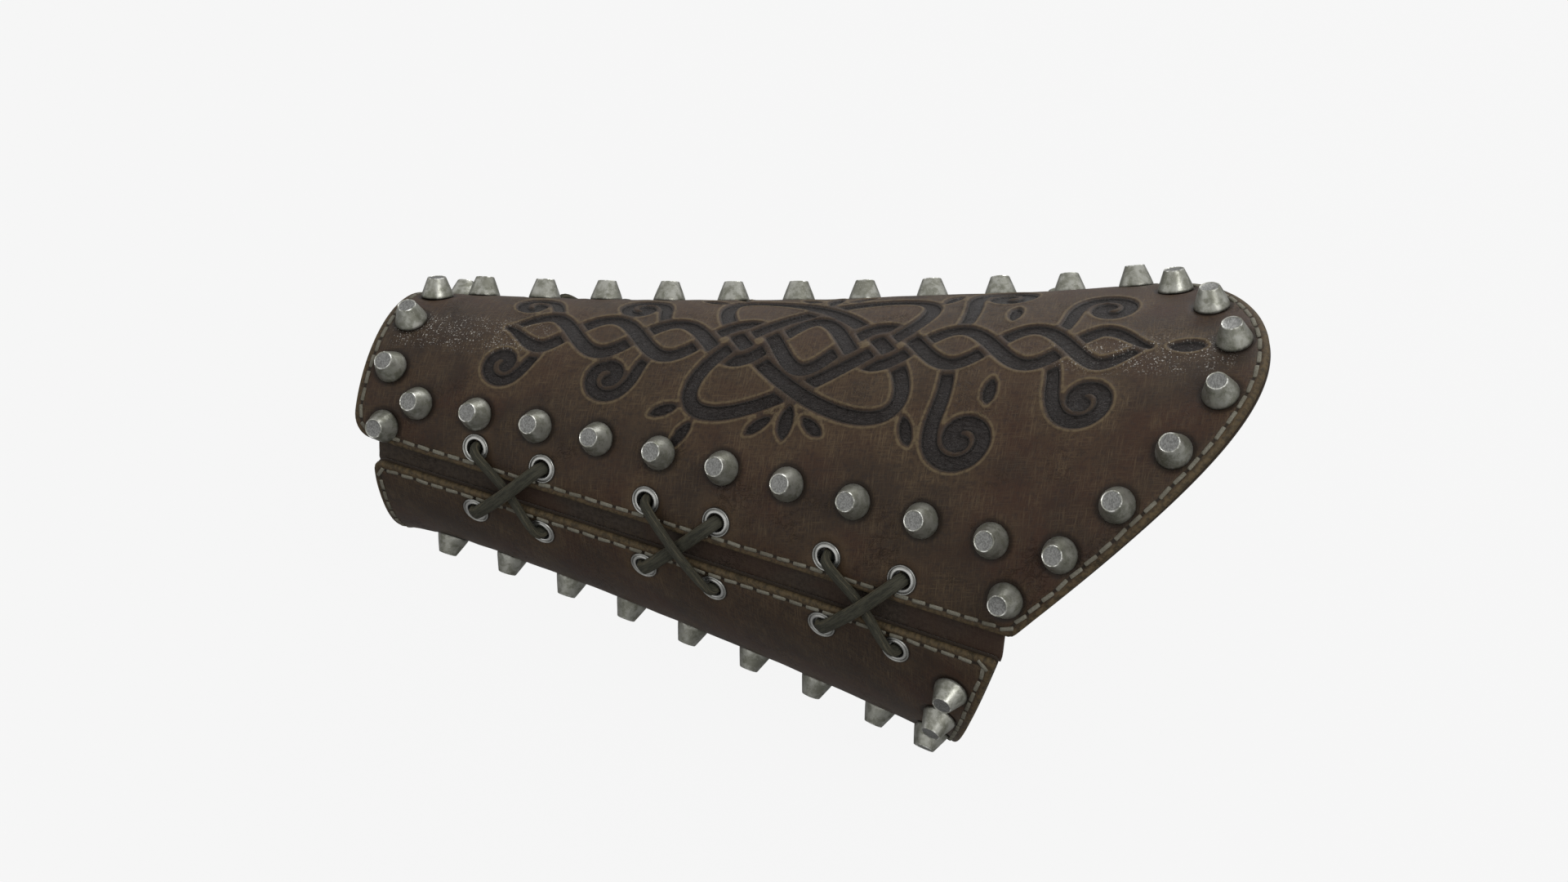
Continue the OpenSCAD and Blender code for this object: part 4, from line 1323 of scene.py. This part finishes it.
tongueTones = {
    "dark": (0.0350, 0.0268, 0.0215), "pale": (0.058, 0.0455, 0.0365), "red": (0.050, 0.0275, 0.0195),
    "scratch": (0.085, 0.064, 0.038),
}


def tongueTone(tree):
    grain = placeGroup(tree, hideGrain, Place=attribute(tree, "flat", "Vector"))
    mottling = grain["Mottling"]
    colour = tint(tree, ranged(tree, mottling, 0.35, 0.65), tongueTones["dark"], tongueTones["pale"])
    colour = painted(tree, colour, tongueTones["red"], ranged(tree, grain["Blotches"], 0.45, 0.62, 0.0, 0.7))
    colour = painted(tree, colour, tongueTones["scratch"], grain["Scratches"], 0.4)
    return colour, ranged(tree, mottling, 0.3, 0.7, 0.5, 0.65), grain["Height"]


pewter = {
    "dark": (0.20, 0.20, 0.163), "pale": (0.37, 0.37, 0.33), "stain": (0.100, 0.102, 0.070),
    # the bright tone is for the studs' rim: partly bare metal, partly a painted highlight
    "speck": (0.60, 0.60, 0.56), "dirt": (0.030, 0.029, 0.021), "bright": (0.78, 0.78, 0.74),
    "topDark": (0.125, 0.125, 0.118), "topPale": (0.235, 0.235, 0.225),
}


def studTone(tree):
    place = bodyPlace(tree)
    patina = placeGroup(tree, metalPatina, Place=place, Cloud_Size=3.4, Pit_Depth=0.02)
    tone, specks, rise = patina["Tone"], patina["Specks"], attribute(tree, "rise")
    colour = tint(tree, ranged(tree, tone, 0.36, 0.64), pewter["dark"], pewter["pale"])
    stains = ranged(tree, noiseOf(tree, place, 0.42, 3.0, 0.6), 0.50, 0.66, 0.0, 0.5)
    colour = painted(tree, colour, pewter["stain"], stains)
    colour = painted(tree, colour, pewter["speck"], ranged(tree, specks, 0.60, 0.70, 0.0, 0.6))
    foul = times(tree, faded(tree, rise, 0.0, 0.16), ranged(tree, tone, 0.40, 0.60, 0.9, 0.4))
    colour = painted(tree, colour, pewter["dirt"], foul)
    # the flat top is rubbed grey; its rim is bright, partly metal rubbed bare and partly a painted highlight
    top = ranged(tree, rise, 1.03, 1.10)
    scuffs = noiseOf(tree, stretched(tree, place, (1, 0.4, 1)), 2.6, 3.0, 0.65)
    topTone = tint(tree, ranged(tree, scuffs, 0.36, 0.64), pewter["topDark"], pewter["topPale"])
    colour = painted(tree, colour, topTone, top)
    broken = ranged(tree, noiseOf(tree, place, 0.6, 4.0, 0.7), 0.47, 0.60)
    bright = times(tree, between(tree, rise, 0.93, 0.985, 1.01, 1.06), broken)
    colour = painted(tree, colour, pewter["bright"], bright)
    body = plus(tree, 0.68, times(tree, ranged(tree, specks, 0.60, 0.70), 0.3))
    rough = plus(tree, ranged(tree, tone, 0.35, 0.65, 0.44, 0.30), times(tree, bright, -0.12))
    height = plus(tree, patina["Height"], times(tree, top, scuffs, 0.05))
    return colour, rough, height, calc(tree, "MAXIMUM", bright, body)


nickel = {"dull": (0.20, 0.20, 0.185), "plain": (0.28, 0.28, 0.265), "bright": (0.45, 0.45, 0.43)}
steel = {"dull": (0.22, 0.21, 0.19), "plain": (0.36, 0.35, 0.33), "bright": (0.5, 0.5, 0.48)}


def rolledTone(tree, metal, dirt):
    # nickelled or plain steel: brighter where it stands proud, dirty where it dips
    patina = placeGroup(tree, metalPatina, Place=bodyPlace(tree), Cloud_Size=2.0, Pit_Depth=0.008)
    tone, rise = patina["Tone"], attribute(tree, "rise")
    colour = tint(tree, ranged(tree, tone, 0.38, 0.62), metal["dull"], metal["plain"])
    colour = painted(tree, colour, metal["bright"], ranged(tree, rise, 0.62, 0.95))
    foul = times(tree, faded(tree, rise, 0.02, 0.45), ranged(tree, tone, 0.40, 0.60, 1.0, 0.5))
    colour = painted(tree, colour, (0.050, 0.048, 0.040), foul, dirt)
    return colour, ranged(tree, tone, 0.35, 0.65, 0.42, 0.26), patina["Height"]


thread = {"dark": (0.145, 0.136, 0.104), "pale": (0.235, 0.222, 0.180), "soil": (0.085, 0.074, 0.052)}


def threadTone(tree):
    place = bodyPlace(tree)
    fibre, soil = noiseOf(tree, place, 2.2, 3.0, 0.7), noiseOf(tree, place, 0.11, 3.0, 0.6)
    colour = tint(tree, ranged(tree, fibre, 0.3, 0.7), thread["dark"], thread["pale"])
    colour = painted(tree, colour, thread["soil"], ranged(tree, soil, 0.45, 0.66, 0.0, 0.5))
    return colour, ranged(tree, fibre, 0.2, 0.8, 0.7, 0.85), times(tree, fibre, 0.12)


laceTones = {
    "dark": (0.0260, 0.0258, 0.0185), "pale": (0.058, 0.056, 0.040), "rubbed": (0.112, 0.095, 0.058),
    "nap": (0.090, 0.084, 0.058),
}


def laceTone(tree):
    along, turn = attribute(tree, "along"), times(tree, attribute(tree, "round"), 2 * math.pi)
    over, side = calc(tree, "SINE", turn), calc(tree, "COSINE", turn)
    place = add(tree, "ShaderNodeCombineXYZ", X=times(tree, along, 0.13), Y=times(tree, over, 2.0),
                Z=times(tree, side, 2.0)).outputs[0]
    streaks = noiseOf(tree, place, 2.3, 3.0, 0.6)
    nap = noiseOf(tree, bodyPlace(tree), 3.6, 3.0, 0.7)
    colour = tint(tree, ranged(tree, streaks, 0.34, 0.62), laceTones["dark"], laceTones["pale"])
    edges = ranged(tree, calc(tree, "ABSOLUTE", side), 0.62, 0.95)
    rub = times(tree, edges, ranged(tree, streaks, 0.45, 0.60))
    colour = painted(tree, colour, laceTones["rubbed"], rub, 0.65)
    colour = painted(tree, colour, laceTones["nap"], ranged(tree, nap, 0.52, 0.72, 0.0, 0.45))
    height = plus(tree, times(tree, nap, 0.14), times(tree, streaks, 0.18))
    return colour, ranged(tree, nap, 0.3, 0.7, 0.7, 0.85), height


finishes = {name: newFinish(name, look, **fixed) for name, look, fixed in (
    ("tooledLeather", tooledHide, {"Specular_IOR_Level": 0.20}),
    ("suedeLining", liningTone, {"Specular_IOR_Level": 0.2, "Sheen_Weight": 0.15, "Sheen_Roughness": 0.5}),
    ("softTongue", tongueTone, {"Specular_IOR_Level": 0.15}),
    ("castPewter", studTone, {}),
    ("rolledNickel", lambda tree: rolledTone(tree, nickel, 0.4), {"Metallic": 0.88}),
    ("waxedThread", threadTone, {"Specular_IOR_Level": 0.3}),
    ("suedeLace", laceTone, {"Specular_IOR_Level": 0.25}),
    ("steelScrew", lambda tree: rolledTone(tree, steel, 0.2), {"Metallic": 1.0}),
)}
print("finishes mixed")

stud = {
    "width": 9.6, "height": 5.9, "unevenness": 0.06, "lean": 0.025, "post": 1.9, "postDepth": 2.6,
    "sides": 26, "sharp": 38 * degree, "finish": "castPewter",
}
eyelet = {  # its shape is in millimetres, so width and height are scales
    "bore": 2.5, "rim": 1.65, "wall": 0.4, "roll": 0.6, "depth": 3.75, "clinch": 0.9, "washer": 0.4,
    "width": 1.0, "height": 1.0, "unevenness": 0.06, "lean": 0.0, "sides": 32, "sharp": 38 * degree,
    "finish": "rolledNickel",
}
stitch = {
    "pitch": 5.0, "length": 3.9, "width": 1.12, "height": 0.75, "inset": 2.3, "channel": 0.32, "sink": 0.12,
    "back": 0.1,
}


def studShape():
    post, depth = stud["post"] / (stud["width"] / 2), -stud["postDepth"] / stud["height"]
    outline = [  # radius, height and how far up the side: past 1 is the flat top
        (0, depth, 0), (post, depth, 0), (post, 0, 0), (0.95, 0, 0), (0.99, 0.02, 0.02),
        (1.0, 0.06, 0.06), (0.974, 0.14, 0.14), (0.922, 0.26, 0.26), (0.852, 0.41, 0.41),
        (0.779, 0.56, 0.56), (0.705, 0.71, 0.71), (0.630, 0.86, 0.86), (0.588, 0.945, 0.94),
        (0.570, 0.98, 0.98), (0.548, 1.0, 1.0), (0.522, 0.992, 1.02), (0.500, 0.972, 1.06),
        (0.468, 0.966, 1.12), (0.23, 0.96, 1.2), (0, 0.965, 1.2),
    ]
    return turned("studShape", [(r / 2, h) for r, h, _ in outline], stud["sides"], [t for _, _, t in outline])


def eyeletShape():
    r, w, t, top, depth = (eyelet[k] for k in ("bore", "rim", "wall", "roll", "depth"))
    section = [  # across the rim from the bore outward: share of the rim, share of the roll
        (0, -0.6), (0.0, 0.30), (0.03, 0.66), (0.10, 0.92), (0.20, 1.0), (0.34, 0.96), (0.47, 0.80),
        (0.58, 0.52), (0.66, 0.42), (0.73, 0.66), (0.80, 0.78), (0.88, 0.78), (0.95, 0.60),
        (1.0, 0.20), (0.98, -0.12),
    ]
    outline = [(r, -depth)] + [(r + w * a, top * b) for a, b in section]
    clinch, washer = r + eyelet["clinch"], eyelet["washer"] - depth
    outline += [(r + t, -0.08), (r + t, washer), (clinch, washer), (clinch, -depth)]
    return turned("eyeletShape", outline, eyelet["sides"], [max(h, 0) / top for _, h in outline])


def dashShape():
    # one stitch, lengthways on X: a flat strand with square shoulders that dips in at both ends
    section = [(-0.5, -0.6), (-0.5, 0.12), (-0.40, 0.40), (0, 0.48), (0.40, 0.40), (0.5, 0.12), (0.5, -0.6)]
    stations = [(-0.5, 0.72, -0.55), (-0.475, 0.9, -0.12), (-0.42, 1.0, 0.0), (0, 1.0, 0.05),
                (0.42, 1.0, 0.0), (0.475, 0.9, -0.12), (0.5, 0.72, -0.55)]
    points = [(x, wide * y, z + lift) for x, wide, lift in stations for y, z in section]
    sides = len(section)
    faces = []
    for start in range(0, len(points) - sides, sides):
        for k in range(sides):
            m = (k + 1) % sides
            faces.append((start + k, start + m, start + sides + m, start + sides + k))
    faces += [tuple(range(sides)), tuple(range(len(points) - sides, len(points)))]
    return keptAside(meshFrom("dashShape", np.array(points) / mm, faces, None, None))


fixings, sewing = fixingTree(), stitchTree()
studForm, eyeletForm, dashForm = studShape(), eyeletShape(), dashShape()


def setFixings(name, spots, shape, form, seed):
    x, angle = spots[:, 0], spots[:, 1]
    thing = grow(name, fixings, onFlare(x, angle, -seat["sink"]), outOfFlare(x, angle), [], {
        "Shape": shape, "Width": form["width"] * mm, "Height": form["height"] * mm,
        "Unevenness": form["unevenness"] * mm, "Lean": form["lean"], "Seed": seed,
        "Material": finishes[form["finish"]],
    })
    thing.data.set_sharp_from_angle(angle=form["sharp"])
    return thing


outerStudPiece = setFixings("outerStuds", outerStuds, studForm, stud, 3)
innerStudPiece = setFixings("innerStuds", innerStuds, studForm, stud, 8)
outerEyeletPiece = setFixings("outerEyelets", outerEyelets, eyeletForm, eyelet, 5)
innerEyeletPiece = setFixings("innerEyelets", innerEyelets, eyeletForm, eyelet, 6)


def sew(name, panel, seed):
    # a closed seam outside and the same one on the lining, in one piece
    inward = inwardOf(panel)
    line = smoothLoop(panel["line"] + inward * stitch["inset"], 3)
    x, angle = line[:, 0], angleRound(line, panel["middle"])
    out = outOfFlare(x, angle)
    points, outward, edges = [], [], []
    outside, inside = stitch["sink"] - stitch["channel"], -cut["panelThickness"] - stitch["back"]
    for level, way in ((outside, 1), (inside, -1)):
        start = len(points)
        points += list(onFlare(x, angle, level))
        outward += list(out * way)
        edges += [(start + i, start + (i + 1) % len(line)) for i in range(len(line))]
    return grow(name, sewing, points, outward, edges, {
        "Shape": dashForm, "Pitch": stitch["pitch"] * mm, "Length": stitch["length"] * mm,
        "Width": stitch["width"] * mm, "Height": stitch["height"] * mm, "Seed": seed,
        "Material": finishes["waxedThread"],
    })


outerStitches, innerStitches = sew("outerStitches", outerPanel, 11), sew("innerStitches", innerPanel, 12)
print("studs, eyelets and stitches set")

lace = {
    "width": 3.8, "thick": 2.4, "turn": 2.1, "overHeight": 1.9, "underHeight": -7.3, "hump": 0.75,
    "dip": -1.8, "sides": 16, "step": 0.8, "held": 2.5,
}
knot = {
    "width": 2.7, "thick": 2.3, "loop": 1.7, "twist": 1.1, "depth": 0.9, "weave": 0.8, "sides": 10,
    "step": 0.7, "tail": 3.2, "tailRun": (1.0, 1.7), "tailAside": (0.4, 0.9), "tailDrop": (1.1, 0.25),
}


def laceMiddle(place):
    return rows["eyelet"]["x"] + rows["eyelet"]["pitch"] * place


def laceRoute(centre, side, firstOver):
    # over, under, over and under again through the four eyelets of one cross
    def spotOf(end, onOuter):
        x = centre + end * rows["eyelet"]["apart"] / 2
        return np.array([x, side * eyeletAngle(x, onOuter)])

    def place(spot, height):
        return onFlare(spot[0], spot[1], height)

    def turnOut(start, to, level, way):
        gap = np.linalg.norm(place(start, 0.0) - place(to, 0.0))
        found = []
        for a, b in ((0, 0), (1 - math.cos(math.pi / 4), math.sin(math.pi / 4)), (1, 1)):
            spot = start + (to - start) * a * lace["turn"] / gap
            found.append(place(spot, level - way * lace["turn"] * (1 - b)))
        return found

    def run(start, to, level, way, lift):
        middle = place(start + (to - start) / 2, level + lift)
        return turnOut(start, to, level, way) + [middle] + turnOut(to, start, level, way)[::-1]

    a, b, c, d = spotOf(-1, False), spotOf(1, True), spotOf(1, False), spotOf(-1, True)
    over, under = lace["overHeight"], lace["underHeight"]
    first, second = ("hump", "dip") if firstOver else ("dip", "hump")
    return np.array(run(a, b, over, 1, lace[first]) + run(b, c, under, -1, 0)
                    + run(c, d, over, 1, lace[second]) + run(d, a, under, -1, 0))


def curveThrough(points, step, closed=True):
    # an even line on a smooth closed curve through the points
    n = len(points)
    found = []
    for i in range(n if closed else n - 1):
        near = [(i + k) % n if closed else min(max(i + k, 0), n - 1) for k in (-1, 0, 1, 2)]
        p0, p1, p2, p3 = (points[k] for k in near)
        d1, d2, d3 = (max(np.linalg.norm(b - a), 1e-6) ** 0.5 for a, b in ((p0, p1), (p1, p2), (p2, p3)))
        m1 = (p2 - p1) - d2 * ((p2 - p0) / (d1 + d2) - (p1 - p0) / d1) if d1 > 1e-3 else p2 - p1
        m2 = (p2 - p1) - d2 * ((p3 - p1) / (d2 + d3) - (p3 - p2) / d3) if d3 > 1e-3 else p2 - p1
        for t in np.linspace(0, 1, 12, endpoint=False):
            found.append(
                (2 * t ** 3 - 3 * t ** 2 + 1) * p1 + (t ** 3 - 2 * t ** 2 + t) * m1
                + (3 * t ** 2 - 2 * t ** 3) * p2 + (t ** 3 - t ** 2) * m2
            )
    if not closed:
        found.append(points[-1])
    return resample(np.array(found), step, closed)


def tubeAlong(line, form, closed):
    # a flat strand that keeps its broad side to the leather
    n, sides = len(line), form["sides"]
    along = np.roll(line, -1, 0) - np.roll(line, 1, 0)
    if not closed:
        along[0], along[-1] = line[1] - line[0], line[-1] - line[-2]
    along /= np.linalg.norm(along, axis=1)[:, None]
    out = outOfFlare(line[:, 0], np.arctan2(-line[:, 1], line[:, 2]))
    aside = np.cross(along, out)
    frames = [aside[0] - (aside[0] @ along[0]) * along[0]]
    for i in range(1, n):
        carried = frames[-1] - (frames[-1] @ along[i]) * along[i]
        carried /= np.linalg.norm(carried)
        wanted = aside[i] - (aside[i] @ along[i]) * along[i]
        size = np.linalg.norm(wanted)
        if size > 0.5:
            wanted = wanted / size
            if wanted @ carried < 0:
                wanted = -wanted
            carried = carried + 0.25 * wanted
            carried /= np.linalg.norm(carried)
        frames.append(carried)
    frames = np.array(frames)
    frames /= np.linalg.norm(frames, axis=1)[:, None]
    if closed:  # spread the turn that is left over the whole loop
        up0 = np.cross(along[0], frames[0])
        last = frames[-1] - (frames[-1] @ along[0]) * along[0]
        last /= np.linalg.norm(last)
        left = math.atan2(last @ up0, last @ frames[0])
        turn = -left * np.arange(n) / n
        ups = np.cross(along, frames)
        frames = frames * np.cos(turn)[:, None] + ups * np.sin(turn)[:, None]
    ups = np.cross(along, frames)
    a = 2 * math.pi * (np.arange(sides) + 0.5) / sides
    ring = np.stack([np.sign(part(a)) * abs(part(a)) ** 0.8 * form[size] / 2
                     for part, size in ((np.cos, "width"), (np.sin, "thick"))], 1)
    points = line[:, None] + ring[None, :, :1] * frames[:, None] + ring[None, :, 1:] * ups[:, None]
    faces = []
    for i in range(n if closed else n - 1):
        j = (i + 1) % n
        for k in range(sides):
            m = (k + 1) % sides
            faces.append((i * sides + k, i * sides + m, j * sides + m, j * sides + k))
    if not closed:
        faces.append(tuple(range(sides)))
        faces.append(tuple((n - 1) * sides + k for k in range(sides)))
    return points.reshape(-1, 3), faces


def knotStrands(route):
    # the tied ends: two turns round each other and two short tails
    start, middle, end = route[-7], route[-4], route[-1]
    out = outOfFlare(np.array(middle[0]), np.array(math.atan2(-middle[1], middle[2])))
    way = end - start
    way = way - (way @ out) * out
    way /= np.linalg.norm(way)
    cross = np.cross(out, way)
    u = np.linspace(0, 2 * math.pi, 34, endpoint=False)
    strands = [(middle + (
        way * (knot["loop"] * np.sin(u) + knot["twist"] * np.sin(2 * u))[:, None]
        + cross * (knot["loop"] * np.cos(u) - knot["twist"] * np.cos(2 * u))[:, None]
        - out * (knot["depth"] - knot["weave"] * np.sin(3 * u))[:, None]
    ), True)]
    (a, run), (b, aside), (drop, lift) = (knot[k] for k in ("tailRun", "tailAside", "tailDrop"))
    for sign in (-1, 1):
        strands.append((middle + np.array([
            way * sign * (a + run * t) + cross * sign * (b + aside * t * t)
            - out * (knot["depth"] + drop * t - lift * t * t)
            for t in np.linspace(0, knot["tail"], 9)
        ]), False))
    return strands


def makeLace(name, side, place):
    route = laceRoute(laceMiddle(place), side, place % 2 == 0)
    points, faces, along, around = np.zeros((0, 3)), [], [], []
    for path, closed, form in [(route, True, lace)] + [(*strand, knot) for strand in knotStrands(route)]:
        line = curveThrough(path, form["step"], closed)
        found, strandFaces = tubeAlong(line, form, closed)
        faces += [tuple(len(points) + k for k in face) for face in strandFaces]
        points = np.vstack([points, found])
        along.append(np.repeat(np.arange(len(line)) * form["step"], form["sides"]))
        around.append(np.tile(np.arange(form["sides"]) / form["sides"], len(line)))
    values = {"along": np.concatenate(along), "round": np.concatenate(around)}
    thing = meshFrom(name, points, faces, values, None)
    thing.data.materials.append(finishes["suedeLace"])
    return thing


laces = []  # piece, node, side and place along the arm
for side, sideName in ((1, "near"), (-1, "far")):
    for place, placeName in enumerate(("wrist", "middle", "elbow")):
        piece = makeLace(sideName + "Lace" + placeName.title(), side, place)
        laces.append((piece, f"{sideName}_lace_{placeName}", side, place))
print("laces made")

# what each piece rides on and stands for: those without a finish here already carry their own
for piece, finish, body, slotName, nodes in (
    (outerLeather, "tooledLeather", "outer", "tooled_leather", ["outer_leather"]),
    (innerLeather, "tooledLeather", "inner", "tooled_leather", ["inner_leather"]),
    (outerLining, "suedeLining", "outer", "lining_leather", ["outer_lining"]),
    (innerLining, "suedeLining", "inner", "lining_leather", ["inner_lining"]),
    (nearTongue, "softTongue", "inner", "tongue_leather", ["near_tongue"]),
    (farTongue, "softTongue", "inner", "tongue_leather", ["far_tongue"]),
    (outerStudPiece, None, "outer", "stud_metal",
     ["outer_near_studs", "outer_far_studs", "wrist_studs", "elbow_studs"]),
    (innerStudPiece, None, "inner", "stud_metal", ["inner_near_studs", "inner_far_studs", "inner_end_studs"]),
    (outerEyeletPiece, None, "outer", "eyelet_nickel", ["outer_near_eyelets", "outer_far_eyelets"]),
    (innerEyeletPiece, None, "inner", "eyelet_nickel", ["inner_near_eyelets", "inner_far_eyelets"]),
    (outerStitches, None, "outer", None, []),
    (innerStitches, None, "inner", None, []),
):
    if finish:
        piece.data.materials.append(finishes[finish])
    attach(piece, body)
    if nodes:
        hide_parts(*nodes)

for piece, node, side, place in laces:
    x = laceMiddle(place)
    held = lace["held"] / radiusAt(x)
    start, end = (tuple(onFlare(x, side * (angleOf(x, edgeZ(x)) + turn), 0.0) * mm)
                  for edgeZ, turn in ((lacedZ, -held), (innerLacedZ, held)))
    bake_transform(piece)
    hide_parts(node)

for panel in ("outer", "inner"):
    for name, finish in (("stud_screws", "steelScrew"), ("eyelet_washers", "rolledNickel")):
        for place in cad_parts[f"{panel}_{name}"].material_slots:
            place.material = finishes[finish]
print("pieces riding on the frame")

stage = {
    "floor": 0.24, "floorGlow": 0.905, "mirrored": 0.18, "glow": 1.0, "sky": 0.935, "light": 0.50,
    "reach": 4000, "thick": 20, "gap": 0.2,
}


def seenRays(tree):  # 1 for rays that show the background itself
    rays = add(tree, "ShaderNodeLightPath")
    seen = calc(tree, "MAXIMUM", rays.outputs["Is Camera Ray"], rays.outputs["Is Glossy Ray"])
    return calc(tree, "MAXIMUM", seen, rays.outputs["Is Transmission Ray"])


def floorFinish():
    material = bpy.data.materials.new("paleFloor")
    material.use_nodes = True
    tree = material.node_tree
    tree.nodes.clear()
    matt = add(tree, "ShaderNodeBsdfDiffuse", Color=(stage["floor"],) * 3 + (1,))
    white = add(tree, "ShaderNodeEmission", Strength=stage["glow"])
    rays = add(tree, "ShaderNodeLightPath").outputs
    mirrored = calc(tree, "MAXIMUM", rays["Is Glossy Ray"], rays["Is Transmission Ray"])
    seen = calc(tree, "MAXIMUM", times(tree, rays["Is Camera Ray"], stage["floorGlow"]),
                times(tree, mirrored, stage["mirrored"]))
    mixed = add(tree, "ShaderNodeMixShader", n0=seen, n1=matt.outputs[0], n2=white.outputs[0])
    add(tree, "ShaderNodeOutputMaterial", n0=mixed.outputs[0])
    return material


def makeStage(low):
    corners = [(x, y, z) for z in (0, -stage["thick"])
               for x, y in np.array([(-1, -1), (1, -1), (1, 1), (-1, 1)]) * stage["reach"]]
    sides = [(k, k + 4, (k + 1) % 4 + 4, (k + 1) % 4) for k in range(4)]
    floor = meshFrom("floor", np.array(corners, float) + (0, 0, low / mm - stage["gap"]),
                     [(0, 1, 2, 3), (7, 6, 5, 4)] + sides, None, None)
    floor.data.materials.append(floorFinish())
    world = bpy.data.worlds.new("paleRoom")
    world.use_nodes = True
    bpy.context.scene.world = world
    tree = world.node_tree
    tree.nodes.clear()
    lit, white = (add(tree, "ShaderNodeBackground", Color=(1, 1, 1, 1), Strength=stage[key]).outputs[0]
                  for key in ("light", "sky"))
    mixed = add(tree, "ShaderNodeMixShader", n0=seenRays(tree), n1=lit, n2=white)
    add(tree, "ShaderNodeOutputWorld", n0=mixed.outputs[0])


softboxes = {  # metres and watts
    "key": {"from": (0.60, -0.40, 0.85), "size": 0.6, "power": 3.6},
    "fill": {"from": (-0.6, -0.7, 0.55), "size": 0.9, "power": 0.25},
    "back": {"from": (0.15, 0.95, 0.6), "size": 0.8, "power": 3.6},
}


def makeLamps():
    centre = Vector((126, 0, 10)) * mm
    for name, box in softboxes.items():
        data = bpy.data.lights.new(name, "AREA")
        data.shape = "DISK"
        data.size = box["size"]
        data.energy = box["power"]
        lamp = bpy.data.objects.new(name, data)
        bpy.context.scene.collection.objects.link(lamp)
        lamp.location = centre + Vector(box["from"])
        lamp.rotation_mode = "QUATERNION"
        lamp.rotation_quaternion = (-Vector(box["from"])).to_track_quat("-Z", "Y")


low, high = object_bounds()
makeStage(low.z)
makeLamps()
bpy.context.scene.view_settings.view_transform = "Standard"
print("stage set")
